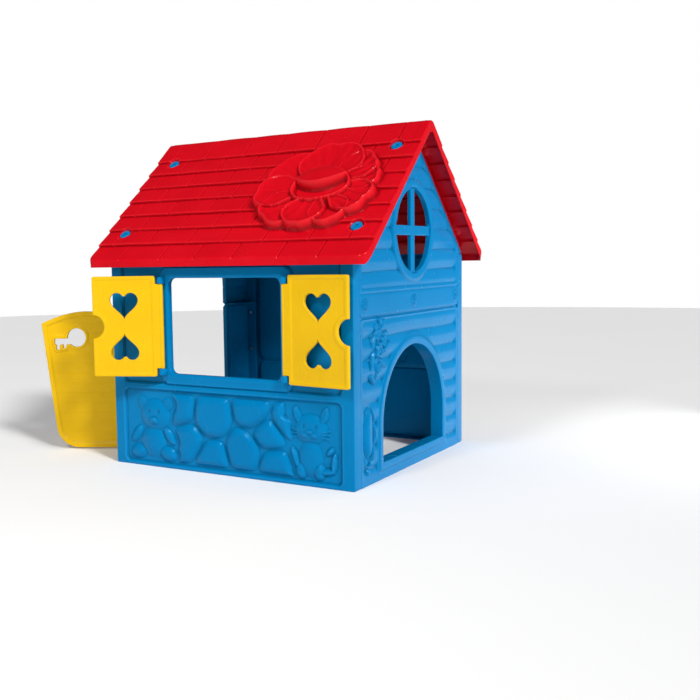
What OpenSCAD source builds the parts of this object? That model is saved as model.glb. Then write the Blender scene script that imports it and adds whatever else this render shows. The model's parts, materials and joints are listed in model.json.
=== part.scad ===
// Small plastic playhouse: four moulded walls, two shingled roof halves, four shutters and a half door.
// Millimetres. X runs along the ridge, the front wall faces -Y, Z is up, and the origin is on the
// ground in the middle of the walls. The front shutters and the door stand open, the back shutters are shut.

/* [House] */
// Length of the walls along the ridge
wall_len = 860; // [760:10:1040]
// Depth of the walls from front to back
wall_dep = 810; // [740:10:980]
// Height of the ridge above the ground
ridge_z = 1060; // [960:10:1280]
// Height of the roof's upper edge above the eave
eave_z = 650; // [620:5:760]
// Wall thickness of the moulded panels
skin = 3; // [2:0.5:5]
// Depth of the rims round a wall panel
rim = 40; // [32:1:60]
// Width of the plain border round a wall panel
border = 40; // [30:1:60]
// Depth of the sunk fields in the wall panels
recess = 8; // [4:1:12]

/* [Roof] */
// Overhang of the roof past the gables
gable_hang = 60; // [30:5:100]
// Overhang of the roof past the front and back walls
eave_hang = 45; // [30:5:60]
// Number of shingle courses on each slope
courses = 8; // [5:1:12]
// Shingles in a course
shingles = 7; // [5:1:10]
// Height of the step from one course to the next
course_step = 7; // [4:0.5:9]
// Thickness of the roof skin
roof_skin = 3.5; // [2.5:0.5:6]
// Depth of the roof's edge lips and of the ribs that sit on the gables
roof_rim = 28; // [22:1:40]
// Drop of the fascia below the eave's upper edge
fascia = 22; // [16:1:30]
// Radius of a roof bolt's head
bolt_head_r = 17; // [14:0.5:20]
// Radius of a roof bolt's shank
bolt_r = 6; // [4:0.5:7]
// Length of a roof bolt's shank
bolt_len = 55; // [44:1:64]
// Reach of the flower moulded on the front slope
flower_r = 185; // [120:5:205]

/* [Windows] */
// Width of the front and back windows
window_w = 400; // [340:10:440]
// Height of the front and back windows
window_h = 293; // [250:1:310]
// Height of the window sill
sill_z = 298; // [280:1:310]
// Width of the frame round a window
frame_w = 34; // [26:1:40]
// Height that a frame stands out of its wall
frame_out = 4; // [2:0.5:6]
// Radius of the round gable window
round_r = 125; // [90:1:150]
// Height of the round window's centre
round_z = 723; // [720:1:760]
// Width of the round window's bars
bar_w = 30; // [20:1:40]

/* [Shutters] */
// Distance of a shutter's hinge axis in front of the wall
shutter_axis = 15; // [14:0.5:20]
// Distance of a hinge axis outside the window's edge
shutter_side = 20; // [18:1:28]
// Thickness of a shutter's rim
shutter_t = 12; // [8:0.5:12]
// Thickness of a shutter inside its rim
shutter_core = 5; // [3:0.5:6]
// Height of a shutter's leaf beyond the window, above and below
shutter_lap = 8; // [4:1:14]
// Width of the hearts in the shutters
heart_w = 90; // [60:1:96]
// Radius of the half-round grip notch
notch_r = 36; // [25:1:50]
// Angle of the left front shutter from shut
left_shutter_open = 157; // [90:1:176]
// Angle of the right front shutter from shut
right_shutter_open = 174; // [90:1:176]

/* [Door] */
// Width of the half door
door_w = 391; // [360:1:400]
// Height of the half door at its hinged upper corner
door_h = 430; // [380:1:450]
// Rise of the hump on the door's upper edge
door_hump = 46; // [20:1:60]
// Thickness of the door's rim
door_t = 14; // [10:0.5:20]
// Thickness of the door inside its rim
door_core = 5; // [3:0.5:8]
// Clearance under the door
door_foot = 6; // [4:1:20]
// Distance of the door's hinge axis in front of the gable
door_axis = 17; // [15:0.5:24]
// Height of the doorway
doorway_h = 735; // [700:5:800]
// Angle of the door from shut
door_open = 117.5; // [60:0.5:160]

/* [Crawl arch] */
// Radius of the arch in the right gable
arch_r = 225; // [180:1:240]
// Height of the arch above the ground
arch_h = 377; // [340:1:400]
// Height of the sill under the arch and the doorway
step_z = 50; // [30:1:70]

/* [Hinges and screws] */
// Radius of the moulded hinge pins
pin_r = 4; // [3:0.5:4.5]
// Length of a hinge pin
pin_len = 16; // [10:1:18]
// Running clearance round a hinge pin
pin_fit = 0.05; // [0.03:0.01:0.09]
// Radius of the small screws
screw_r = 3; // [2:0.25:3.5]
// Clearance round the screws and bolts
screw_fit = 0.2; // [0.1:0.05:0.4]

/* [Hidden] */
$fn = 48;

red = "crimson";
blue = "dodgerblue";
yellow = "gold";
steel = "silver";

// Roof slope: s runs up the slope from the eave, n stands out of it.
roof_len = wall_len + 2 * gable_hang;
roof_half = wall_dep / 2 + eave_hang;
pitch = atan2(ridge_z - eave_z, roof_half);
slope_len = roof_half / cos(pitch);
// The top course runs on to the ridge, so it is this many times as long as the others.
top_course = 1.65;
course_len = slope_len / (courses - 1 + top_course);
joint_w = 3;
petals = 7;
joint_depth = 1.5;
shingle_w = roof_len / shingles;
fascia_z = eave_z - fascia;
function slope_point(s, n) =
    [-roof_half + s * cos(pitch) - n * sin(pitch), eave_z + s * sin(pitch) + n * cos(pitch)];
// Height of the underside of the roof's lips, which the gables carry.
function seat_z(y) = ridge_z - (roof_rim + abs(y) * sin(pitch)) / cos(pitch);

// Walls
inner_dep = wall_dep / 2 - rim;
wall_h = seat_z(wall_dep / 2) - 1;
shoulder = wall_dep / 2 - 3;
field_r = 12;
field_x = wall_len / 2 - border;
field_foot = 12;
sill_rail = 20;
field_top = sill_z - frame_w - sill_rail;
window_r = 20;
gable_border = 16;
// Depth of the lips round windows and doorway; the crawl arch's lip is as deep as the rim
lip = recess + skin + 3;

// Band where the upper gable panel laps over the lower one
band_z = 480;
band_h = 62;
tab_h = band_h - skin - 4;
band_screw_y = inner_dep - 30;
band_mid = band_z + band_h / 2;
log_h = 64;
groove_r = 6;
groove_sink = 3;

// Hinges
shutter_x = window_w / 2 + shutter_side;
lug_r = 11;
lug_h = 20;
hinge_gap = 0.5;
knuckle_r = 7;
leaf_start = 17;
leaf_gap = 2;
leaf_w = shutter_x - leaf_gap;
leaf_z0 = sill_z - shutter_lap;
leaf_z1 = sill_z + window_h + shutter_lap;
strip_in = 25;
leaf_mid = (leaf_z0 + leaf_z1) / 2;
leaf_rim = 12;
heart_off = 70;
door_hinge_y = -180;
door_lug_z = [70, 380];
door_knuckle_r = 8;
door_start = 19;
door_rim = 16;
door_corner_r = 80;
door_taper = 40;
door_lap = 6;
door_lift = 7;
doorway_y0 = door_hinge_y + door_start - 5;
doorway_y1 = door_hinge_y + door_w - door_lap;
doorway_mid = (doorway_y0 + doorway_y1) / 2;
doorway_r = (doorway_y1 - doorway_y0) / 2;

// Fasteners
bolt_s = [127, slope_len - 125];
bolt_x = wall_len / 2 - 15;
bolt_boss_r = 28;
bolt_sink_r = 23;
bolt_sink = 12;
bolt_head_t = 6;
socket_r = 5;
gable_boss_r = 10;
ridge_screw_x = [-300, 0, 300];
ridge_screw_z = ridge_z - roof_rim / cos(pitch) + 12;
nut_r = 6;
nut_t = 4;
head_r = 6;
head_t = 3;
band_head_r = 10;
band_boss_r = 8;
ring_r = 15;
corner_screw_z = [90, 300, 440];
corner_screw_x = wall_len / 2 - 20;
corner_screw_len = 18;

// ---------- outlines ----------

module rounded(w, h, r) {
    offset(r = r) square([w - 2 * r, h - 2 * r], center = true);
}

module box2(x0, x1, z0, z1, r = 0) {
    translate([(x0 + x1) / 2, (z0 + z1) / 2])
        if (r > 0) rounded(x1 - x0, z1 - z0, r);
        else square([x1 - x0, z1 - z0], center = true);
}

// Upright opening with a half-round top, as wide as 2 r.
module arched(r, z0, top) {
    polygon(concat([[-r, z0], [r, z0]], [for (a = [0 : 5 : 180]) [r * cos(a), top - r + r * sin(a)]]));
}

module heart() {
    k = heart_w / 32;
    polygon([for (a = [0 : 8 : 352])
        k * [16 * pow(sin(a), 3), 13 * cos(a) - 5 * cos(2 * a) - 2 * cos(3 * a) - cos(4 * a)]]);
}

// ---------- moulded wall panels ----------
// A panel lies with its outer face at z = 0 and its open back at z = -rim.
// children(0) is its outline with its openings, children(1) its sunk fields, children(2) its outline alone.
// depth is how deep the lips round its openings are.

module wall_panel(depth = lip) {
    difference() {
        translate([0, 0, -rim]) linear_extrude(rim) children(0);
        translate([0, 0, -recess]) linear_extrude(recess + 1) children(1);
        translate([0, 0, -rim - 1]) linear_extrude(rim + 1 - recess - skin) offset(delta = -skin) children(0);
        if (depth < rim)
            translate([0, 0, -rim - 1]) linear_extrude(rim + 1 - depth) offset(delta = -skin) children(2);
        translate([0, 0, -recess - skin - 1]) linear_extrude(recess + 1) difference() {
            offset(delta = -skin) children(0);
            offset(delta = skin) children(1);
        }
    }
}

module face_front() {
    translate([0, -wall_dep / 2, 0]) rotate([90, 0, 0]) children();
}

module face_right() {
    translate([wall_len / 2, 0, 0]) rotate([90, 0, 90]) children();
}

module face_left() {
    rotate([0, 0, 180]) face_right() children();
}

module window_hole() {
    box2(-window_w / 2, window_w / 2, sill_z, sill_z + window_h, window_r);
}

module window_frame() {
    box2(-window_w / 2 - frame_w, window_w / 2 + frame_w, sill_z - frame_w, sill_z + window_h + frame_w,
         window_r + 10);
}

module long_wall_outline() {
    difference() {
        box2(-wall_len / 2, wall_len / 2, 0, wall_h);
        window_hole();
    }
}

module long_wall_fields() {
    box2(-field_x, field_x, field_foot, field_top, field_r);
    difference() {
        box2(-field_x, field_x, field_top + sill_rail, wall_h - 15, field_r);
        window_frame();
    }
}

// Lug with an upright hinge bore. The axis stands "axis" in front of the wall face.
module hinge_lug(x, z, h, axis) {
    difference() {
        union() {
            translate([x, z, axis]) rotate([-90, 0, 0]) cylinder(r = lug_r, h = h);
            translate([x - lug_r, z, -recess - 1]) cube([2 * lug_r, h, axis + recess + 1]);
        }
        translate([x, z - 1, axis]) rotate([-90, 0, 0]) cylinder(r = pin_r + pin_fit, h = h + 2);
    }
}

module long_wall() {
    strip_z0 = leaf_z0 + strip_in;
    strip_z1 = leaf_z1 - strip_in;
    difference() {
        union() {
            wall_panel() {
                long_wall_outline();
                long_wall_fields();
                box2(-wall_len / 2, wall_len / 2, 0, wall_h);
            }
            linear_extrude(frame_out) difference() {
                window_frame();
                window_hole();
            }
            for (side = [-1, 1]) {
                hinge_lug(side * shutter_x, strip_z0 - hinge_gap - lug_h, lug_h, shutter_axis);
                hinge_lug(side * shutter_x, strip_z1 + hinge_gap, lug_h, shutter_axis);
                // closed back of the corner post, which the gable is screwed to
                translate([side * (wall_len / 2 - border / 2) - border / 2, 0, -rim])
                    cube([border, wall_h, skin]);
            }
        }
        for (side = [-1, 1], z = corner_screw_z)
            translate([side * corner_screw_x, z, -rim - 1]) cylinder(r = screw_r + screw_fit, h = skin + 2);
    }
}

// Screw holes in the side rims of a gable panel.
module corner_screw_holes() {
    for (side = [-1, 1], z = corner_screw_z)
        translate([side * (inner_dep + 1), z, corner_screw_x - wall_len / 2]) rotate([0, -90 * side, 0])
            cylinder(r = screw_r + screw_fit, h = skin + 2);
}

// Grooves between the moulded logs of a gable, shaped by rods that lie along the wall.
module log_grooves(half, z0, z1) {
    for (z = [z0 : log_h : z1])
        translate([-half, z, -recess + groove_r - groove_sink]) rotate([0, 90, 0])
            cylinder(r = groove_r, h = 2 * half);
}

// Tab along the lower panel's top, behind the band of the upper panel, with its screw bosses.
module band_tab(y0, y1, screws) {
    difference() {
        union() {
            translate([y0, band_z - skin, -2 * skin]) cube([y1 - y0, tab_h + skin, skin]);
            for (y = screws) translate([y, band_mid, -rim / 2])
                cylinder(r = band_boss_r, h = rim / 2 - 2 * skin + 1);
        }
        for (y = screws) translate([y, band_mid, -rim]) cylinder(r = screw_r + screw_fit, h = rim);
    }
}

module band_flange(y0, y1, screws) {
    difference() {
        union() {
            translate([y0, band_z, -skin]) cube([y1 - y0, band_h + 1, skin]);
            for (y = screws) translate([y, band_mid, -1]) cylinder(r = ring_r, h = 3);
        }
        for (y = screws) {
            translate([y, band_mid, -skin - 1]) cylinder(r = screw_r + screw_fit, h = skin + 4);
            translate([y, band_mid, 0]) cylinder(r = band_head_r + 1, h = 3);
        }
    }
}

module band_screw() {
    difference() {
        cylinder(r = band_head_r, h = head_t);
        translate([0, 0, head_t / 2]) cylinder(r = socket_r, h = head_t, $fn = 6);
    }
    translate([0, 0, -rim / 2]) cylinder(r = screw_r, h = rim / 2 + 1);
}

module upper_gable_outline() {
    polygon([[-inner_dep, band_z + band_h], [-inner_dep, wall_h], [-shoulder, wall_h],
             [-shoulder, seat_z(shoulder)],
             [0, seat_z(0)], [shoulder, seat_z(shoulder)], [shoulder, wall_h], [inner_dep, wall_h],
             [inner_dep, band_z + band_h]]);
}

module upper_gable_field() {
    offset(delta = -gable_border) polygon([[-inner_dep, band_z + band_h], [-inner_dep, seat_z(inner_dep)],
        [0, seat_z(0)], [inner_dep, seat_z(inner_dep)], [inner_dep, band_z + band_h]]);
}

// Places its children under the sloping rims, square to the slope, where the roof bolts come through.
module at_roof_bolts() {
    for (side = [-1, 1], s = bolt_s)
        mirror([side > 0 ? 1 : 0, 0, 0])
        translate([slope_point(s, 0)[0], slope_point(s, 0)[1], bolt_x - wall_len / 2])
            rotate([0, 0, pitch]) rotate([90, 0, 0]) children();
}

module gable_boss() {
    translate([0, 0, roof_rim + 1]) cylinder(r = gable_boss_r, h = bolt_len - roof_rim + 3);
}

module gable_boss_hole() {
    translate([0, 0, roof_rim - 2]) cylinder(r = bolt_r + screw_fit, h = bolt_len);
}

module roof_holding() {
    difference() {
        union() {
            children();
            at_roof_bolts() gable_boss();
        }
        at_roof_bolts() gable_boss_hole();
    }
}

// ---------- roof ----------
// The roof's front half, in the YZ plane and drawn out along X.

function course_s(k) = k * course_len;
shingle_edge = [for (k = [0 : courses - 1]) each
    k < courses - 1 ? [slope_point(course_s(k), 0), slope_point(course_s(k + 1), -course_step)]
                    : [slope_point(course_s(k), 0), [0, ridge_z]]];
seat_y = (ridge_z - roof_rim / cos(pitch) - fascia_z) / tan(pitch);

module along_x(x0, x1) {
    translate([x0, 0, 0]) rotate([90, 0, 90]) linear_extrude(x1 - x0) children();
}

module roof_profile() {
    polygon(concat([[-roof_half, fascia_z]], shingle_edge, [[0, seat_z(0)], [-seat_y, fascia_z]]));
}

// The hollow follows the steps, moved level into the roof so that the skin keeps its thickness at each step.
module roof_hollow() {
    shift = roof_skin / sin(pitch);
    intersection() {
        polygon(concat([[-2 * roof_half, eave_z]], [for (p = shingle_edge) [p[0] + shift, p[1]]],
                       [[0, 0], [-2 * roof_half, 0]]));
        translate([-roof_half + roof_skin, 0]) square([roof_half - 2 * roof_skin, ridge_z]);
    }
}

module on_slope(x, s) {
    translate([x, slope_point(s, 0)[0], slope_point(s, 0)[1]]) rotate([pitch, 0, 0]) children();
}

// Running bond: every other course is shifted by half a shingle.
module shingle_joints() {
    for (k = [0 : courses - 1]) {
        top = k < courses - 1 ? course_s(k + 1) : slope_len - 1;
        fall = k < courses - 1 ? course_step : 0;
        shift = k % 2 == 0 ? 0 : 0.5;
        for (i = [1 : shingles - 1 + 2 * shift]) {
            x = -roof_len / 2 + (i - shift) * shingle_w;
            along_x(x - joint_w / 2, x + joint_w / 2)
                polygon([slope_point(course_s(k) - 1, 3), slope_point(course_s(k) - 1, -joint_depth),
                         slope_point(top, -fall - joint_depth), slope_point(top, 3 - fall)]);
        }
    }
}

// Outline of the flower: round lobes between narrow notches.
function petal_reach(a) = flower_r * (0.8 + 0.2 * pow(abs(cos(a * petals / 2)), 0.6));

module flower() {
    deep = roof_rim / 2;
    translate([0, 0, -deep]) linear_extrude(deep + 11)
        polygon([for (a = [0 : 5 : 355]) petal_reach(a) * [cos(a), sin(a)]]);
    difference() {
        translate([0, 0, -deep]) cylinder(r = flower_r / 2, h = deep + 20);
        translate([0, 0, 8]) cylinder(r = flower_r / 2.6, h = 20);
    }
    translate([0, 0, 7]) cylinder(r = flower_r / 6, h = 10);
}

module roof_half_shell(with_flower) {
    spans = [[-roof_len / 2 + roof_skin, -wall_len / 2], [-wall_len / 2 + rim, wall_len / 2 - rim],
             [wall_len / 2, roof_len / 2 - roof_skin]];
    difference() {
        union() {
            difference() {
                union() {
                    difference() {
                        along_x(-roof_len / 2, roof_len / 2) roof_profile();
                        shingle_joints();
                    }
                    if (with_flower) on_slope(0.2 * roof_len, 0.51 * slope_len) flower();
                }
                for (x = spans) along_x(x[0], x[1]) roof_hollow();
            }
            for (side = [-1, 1], s = bolt_s)
                on_slope(side * bolt_x, s) translate([0, 0, -roof_rim])
                    cylinder(r = bolt_boss_r, h = roof_rim - course_step - 1);
        }
        for (side = [-1, 1], s = bolt_s) on_slope(side * bolt_x, s) {
            translate([0, 0, -bolt_sink]) cylinder(r = bolt_sink_r, h = bolt_sink + 5);
            translate([0, 0, -roof_rim - 1]) cylinder(r = bolt_r + screw_fit, h = roof_rim);
        }
        for (x = ridge_screw_x) translate([x, -roof_skin - 1, ridge_screw_z]) rotate([-90, 0, 0])
            cylinder(r = screw_r + screw_fit, h = roof_skin + 2);
    }
}

module roof_bolts() {
    for (side = [-1, 1], s = bolt_s) on_slope(side * bolt_x, s) translate([0, 0, -bolt_sink]) {
        difference() {
            cylinder(r = bolt_head_r, h = bolt_head_t);
            translate([0, 0, bolt_head_t / 2]) cylinder(r = socket_r, h = bolt_head_t, $fn = 6);
        }
        translate([0, 0, -bolt_len]) cylinder(r = bolt_r, h = bolt_len + 1);
    }
}

// ---------- leaves ----------
// A leaf's hinge axis is the Z axis and the leaf lies along +X.

module shutter_outline() {
    difference() {
        union() {
            box2(leaf_start, leaf_w, leaf_z0, leaf_z1, 6);
            box2(0, leaf_start + 10, leaf_z0 + strip_in, leaf_z1 - strip_in);
        }
        translate([leaf_w, leaf_mid]) circle(r = notch_r);
        for (up = [-1, 1]) translate([(leaf_start + leaf_w) / 2, leaf_mid + up * heart_off])
            mirror([0, up > 0 ? 0 : 1])
            heart();
    }
}

module leaf_plate(t, core, edge) {
    rotate([90, 0, 0]) difference() {
        translate([0, 0, -t / 2]) linear_extrude(t) children(0);
        for (face = [0, 1]) mirror([0, 0, face]) translate([0, 0, core / 2]) linear_extrude(t) children(1);
    }
}

module shutter_leaf() {
    strip_z0 = leaf_z0 + strip_in;
    strip_z1 = leaf_z1 - strip_in;
    leaf_plate(shutter_t, shutter_core) {
        shutter_outline();
        difference() {
            box2(leaf_start + leaf_rim, leaf_w - leaf_rim, leaf_z0 + leaf_rim, leaf_z1 - leaf_rim, 4);
            translate([leaf_w, leaf_mid]) circle(r = notch_r + leaf_rim);
            for (up = [-1, 1]) translate([(leaf_start + leaf_w) / 2, leaf_mid + up * heart_off])
                mirror([0, up > 0 ? 0 : 1]) offset(r = 3) heart();
        }
    }
    translate([0, 0, strip_z0]) cylinder(r = knuckle_r, h = strip_z1 - strip_z0);
    translate([0, 0, strip_z0 - pin_len]) cylinder(r = pin_r, h = strip_z1 - strip_z0 + 2 * pin_len);
}

// side is -1 for the left window edge and 1 for the right one.
module shutter(side, opened) {
    translate([side * shutter_x, -wall_dep / 2 - shutter_axis, 0]) rotate([0, 0, side * opened])
        mirror([side > 0 ? 1 : 0, 0, 0]) shutter_leaf();
}

// Height of the door's upper edge a share t of the way from its hinge: a sine arch that leans away from it.
function door_top(t) = door_h + door_lift * t + (door_hump - door_lift / 2) * sin(180 * pow(t, 1.23));

module door_outline(shrink = 0) {
    r = door_corner_r;
    offset(delta = -shrink) {
        hull() {
            translate([door_w - door_taper - r, door_foot + r]) circle(r = r);
            translate([door_start + r, door_foot + r]) circle(r = r);
            polygon([[door_start, door_h / 2],
                     for (i = [0 : 14]) [door_start + (door_w - door_start) * i / 14, door_top(i / 14)]]);
        }
    }
}

module key_hole(grow = 0) {
    offset(delta = grow) translate([door_w - 121, door_h - 43]) {
        circle(r = 32);
        box2(0, 78, -23, -3);
        box2(38, 48, -36, -13);
        box2(60, 72, -41, -13);
    }
}

module door_leaf() {
    leaf_plate(door_t, door_core) {
        difference() {
            union() {
                door_outline();
                for (z = door_lug_z) box2(0, door_start + 20, z + lug_h + hinge_gap, z + 2 * lug_h + 10);
            }
            key_hole();
        }
        difference() {
            door_outline(door_rim);
            key_hole(8);
        }
    }
    for (z = door_lug_z) {
        translate([0, 0, z + lug_h + hinge_gap]) cylinder(r = door_knuckle_r, h = lug_h + 10 - hinge_gap);
        translate([0, 0, z + lug_h + hinge_gap - pin_len]) cylinder(r = pin_r, h = pin_len + 1);
    }
}

// ---------- sub-parts ----------

module front_wall() {
    color(blue) face_front() long_wall();
}

module back_wall() {
    color(blue) rotate([0, 0, 180]) face_front() long_wall();
}

module lower_gable_box() {
    box2(-inner_dep, inner_dep, 0, band_z);
}

module right_gable_lower() {
    color(blue) face_right() {
        difference() {
            union() {
                wall_panel(rim) {
                    difference() {
                        lower_gable_box();
                        arched(arch_r, step_z, arch_h);
                    }
                    difference() {
                        box2(-inner_dep + gable_border, inner_dep - gable_border, field_foot, band_z - 12,
                             field_r);
                        arched(arch_r + frame_w, -1, arch_h + frame_w);
                    }
                    lower_gable_box();
                }
                linear_extrude(frame_out) difference() {
                    arched(arch_r + frame_w - 8, step_z, arch_h + frame_w - 8);
                    arched(arch_r, step_z - 1, arch_h);
                }
            }
            corner_screw_holes();
            for (side = [-1, 1]) translate([side * (inner_dep + arch_r) / 2, 0, 0])
                log_grooves((inner_dep - arch_r) / 2 - frame_w, log_h, arch_h - arch_r / 3);
        }
        band_tab(-inner_dep + 5, inner_dep - 5, [-band_screw_y, 0, band_screw_y]);
    }
}

module right_gable_upper() {
    color(blue) face_right() {
        roof_holding() {
            difference() {
                union() {
                    wall_panel() {
                        difference() {
                            upper_gable_outline();
                            translate([0, round_z]) circle(r = round_r);
                        }
                        difference() {
                            upper_gable_field();
                            translate([0, round_z]) circle(r = round_r + 26);
                        }
                        upper_gable_outline();
                    }
                    translate([0, round_z, 0]) difference() {
                        cylinder(r = round_r + 26, h = frame_out);
                        translate([0, 0, -1]) cylinder(r = round_r, h = frame_out + 2);
                    }
                    for (turn = [0, 90]) translate([0, round_z, -recess]) rotate([0, 0, turn])
                        translate([-round_r - 1, -bar_w / 2, 0])
                            cube([2 * round_r + 2, bar_w, recess + frame_out - 2]);
                }
            }
            band_flange(-inner_dep, inner_dep, [-band_screw_y, 0, band_screw_y]);
        }
    }
}

module doorway(grow = 0, z0 = step_z) {
    translate([-doorway_mid, 0]) arched(doorway_r + grow, z0, doorway_h + grow);
}

module left_gable_lower() {
    color(blue) face_left() {
        difference() {
            union() {
                wall_panel() {
                    difference() {
                        lower_gable_box();
                        doorway();
                    }
                    difference() {
                        box2(-inner_dep + gable_border, inner_dep - gable_border, field_foot, band_z - 12,
                             field_r);
                        doorway(frame_w, -1);
                    }
                    lower_gable_box();
                }
                for (z = door_lug_z) hinge_lug(-door_hinge_y, z, lug_h, door_axis);
            }
            corner_screw_holes();
        }
        band_tab(-inner_dep + 5, -doorway_mid - doorway_r - skin, [-band_screw_y]);
        band_tab(-doorway_mid + doorway_r + skin, inner_dep - 5, [band_screw_y]);
    }
}

module left_gable_upper() {
    color(blue) face_left() {
        roof_holding() {
            wall_panel() {
                difference() {
                    upper_gable_outline();
                    doorway();
                }
                difference() {
                    upper_gable_field();
                    doorway(frame_w);
                }
                upper_gable_outline();
            }
            band_flange(-inner_dep, -doorway_mid - doorway_r, [-band_screw_y]);
            band_flange(-doorway_mid + doorway_r, inner_dep, [band_screw_y]);
        }
    }
}

module roof_front() {
    color(red) roof_half_shell(true);
}

module roof_rear() {
    color(red) rotate([0, 0, 180]) roof_half_shell(false);
}

module front_left_shutter() {
    color(yellow) shutter(-1, left_shutter_open);
}

module front_right_shutter() {
    color(yellow) shutter(1, right_shutter_open);
}

module back_left_shutter() {
    color(yellow) rotate([0, 0, 180]) shutter(1, 0);
}

module back_right_shutter() {
    color(yellow) rotate([0, 0, 180]) shutter(-1, 0);
}

module door() {
    color(yellow) translate([-wall_len / 2 - door_axis, door_hinge_y, 0]) rotate([0, 0, 90 + door_open])
        door_leaf();
}

module roof_bolts_front() {
    color(blue) roof_bolts();
}

module roof_bolts_rear() {
    color(blue) rotate([0, 0, 180]) roof_bolts();
}

module ridge_screws() {
    color(steel) for (x = ridge_screw_x) translate([x, -roof_skin, ridge_screw_z]) rotate([-90, 0, 0]) {
        translate([0, 0, -head_t]) cylinder(r = head_r, h = head_t);
        translate([0, 0, -1]) cylinder(r = screw_r, h = 2 * roof_skin + nut_t + 3);
    }
}

module ridge_nuts() {
    color(steel) for (x = ridge_screw_x) translate([x, roof_skin, ridge_screw_z]) rotate([-90, 0, 0])
    difference() {
        cylinder(r = nut_r, h = nut_t, $fn = 6);
        translate([0, 0, -1]) cylinder(r = screw_r + screw_fit, h = nut_t + 2);
    }
}

module band_screws_right() {
    color(blue) face_right() for (y = [-band_screw_y, 0, band_screw_y]) translate([y, band_mid, 0])
        band_screw();
}

module band_screws_left() {
    color(blue) face_left() for (y = [-band_screw_y, band_screw_y]) translate([y, band_mid, 0]) band_screw();
}

// Screws from inside a gable's side rim into the corner post of the front or back wall.
module corner_screws(x_side, y_side) {
    color(steel) for (z = corner_screw_z)
        translate([x_side * corner_screw_x, y_side * (inner_dep - skin), z]) rotate([-90 * y_side, 0, 0]) {
            translate([0, 0, -head_t]) cylinder(r = head_r, h = head_t);
            translate([0, 0, -1]) cylinder(r = screw_r, h = corner_screw_len);
        }
}

module corner_screws_front_left() {
    corner_screws(-1, -1);
}

module corner_screws_front_right() {
    corner_screws(1, -1);
}

module corner_screws_back_left() {
    corner_screws(-1, 1);
}

module corner_screws_back_right() {
    corner_screws(1, 1);
}

front_wall();
back_wall();
right_gable_lower();
right_gable_upper();
left_gable_lower();
left_gable_upper();
roof_front();
roof_rear();
front_left_shutter();
front_right_shutter();
back_left_shutter();
back_right_shutter();
door();
roof_bolts_front();
roof_bolts_rear();
ridge_screws();
ridge_nuts();
band_screws_right();
band_screws_left();
corner_screws_front_left();
corner_screws_front_right();
corner_screws_back_left();
corner_screws_back_right();
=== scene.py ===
"""A small moulded plastic playhouse: its shells, leaves, fasteners and finishes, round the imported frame."""
import json
import logging
import math
from dataclasses import dataclass, field
from enum import Enum
from typing import Callable, ClassVar, Optional, Sequence, Union

import bpy
from mathutils import Matrix, Vector
import numpy as np

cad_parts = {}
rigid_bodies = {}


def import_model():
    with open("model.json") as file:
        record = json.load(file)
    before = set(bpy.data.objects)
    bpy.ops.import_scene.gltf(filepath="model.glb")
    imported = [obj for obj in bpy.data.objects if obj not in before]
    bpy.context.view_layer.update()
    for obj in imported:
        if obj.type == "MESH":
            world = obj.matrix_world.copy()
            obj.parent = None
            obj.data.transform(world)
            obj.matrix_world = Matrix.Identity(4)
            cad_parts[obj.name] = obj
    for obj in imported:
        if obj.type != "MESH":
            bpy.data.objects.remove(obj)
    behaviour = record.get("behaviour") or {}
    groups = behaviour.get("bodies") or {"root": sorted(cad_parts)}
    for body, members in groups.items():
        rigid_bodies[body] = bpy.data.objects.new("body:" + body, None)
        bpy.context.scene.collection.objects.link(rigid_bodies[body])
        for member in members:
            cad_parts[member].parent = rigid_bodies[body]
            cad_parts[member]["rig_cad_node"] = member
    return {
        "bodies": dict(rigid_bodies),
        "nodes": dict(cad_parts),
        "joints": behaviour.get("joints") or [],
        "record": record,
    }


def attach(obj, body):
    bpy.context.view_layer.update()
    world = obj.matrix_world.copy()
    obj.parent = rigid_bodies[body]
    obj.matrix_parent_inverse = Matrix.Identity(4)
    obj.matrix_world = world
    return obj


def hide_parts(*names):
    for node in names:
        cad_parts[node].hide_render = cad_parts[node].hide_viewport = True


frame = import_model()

logging.basicConfig(level=logging.INFO, format="%(message)s")
LOG = logging.getLogger("playhouse")
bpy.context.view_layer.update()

Array = np.ndarray
Field = Callable[[Array, Array], Array]
Place = Callable[[Array, Array, Array], Array]
Local = Callable[[Array], Array]
MM = 0.001


# ---------------------------------------------------------------- plan shapes

def box_field(u: Array, v: Array, centre: Sequence[float], half: Sequence[float],
              radius: float = 0.0) -> Array:
    """Signed distance to a rounded rectangle, negative inside.

    Args:
        u, v: plan positions.
        centre: middle of the rectangle.
        half: its half sizes.
        radius: radius of its corners.

    Returns:
        The distance at each position.
    """
    x = np.abs(u - centre[0]) - (half[0] - radius)
    y = np.abs(v - centre[1]) - (half[1] - radius)
    return np.hypot(np.maximum(x, 0), np.maximum(y, 0)) + np.minimum(np.maximum(x, y), 0) - radius


def span_field(u: Array, v: Array, u0: float, u1: float, v0: float, v1: float, radius: float = 0.0) -> Array:
    """Signed distance to a rounded rectangle given by its sides."""
    return box_field(u, v, ((u0 + u1) / 2, (v0 + v1) / 2), ((u1 - u0) / 2, (v1 - v0) / 2), radius)


def disc_field(u: Array, v: Array, centre: Sequence[float], radius: float) -> Array:
    """Signed distance to a circle, negative inside."""
    return np.hypot(u - centre[0], v - centre[1]) - radius


def oval_field(u: Array, v: Array, centre: Sequence[float], half: Sequence[float],
               turn: float = 0.0) -> Array:
    """Nearly the signed distance to an ellipse: its level scaled by the slope of that level.

    Args:
        u, v: plan positions.
        centre: middle of the ellipse.
        half: half lengths of its axes.
        turn: angle in degrees by which it is turned.

    Returns:
        The distance at each position.
    """
    c, s = math.cos(math.radians(turn)), math.sin(math.radians(turn))
    x, y = (u - centre[0]) * c + (v - centre[1]) * s, (v - centre[1]) * c - (u - centre[0]) * s
    level = np.hypot(x / half[0], y / half[1])
    slope = np.hypot(x / half[0] ** 2, y / half[1] ** 2) + 1e-9
    return level * (level - 1) / slope


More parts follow.
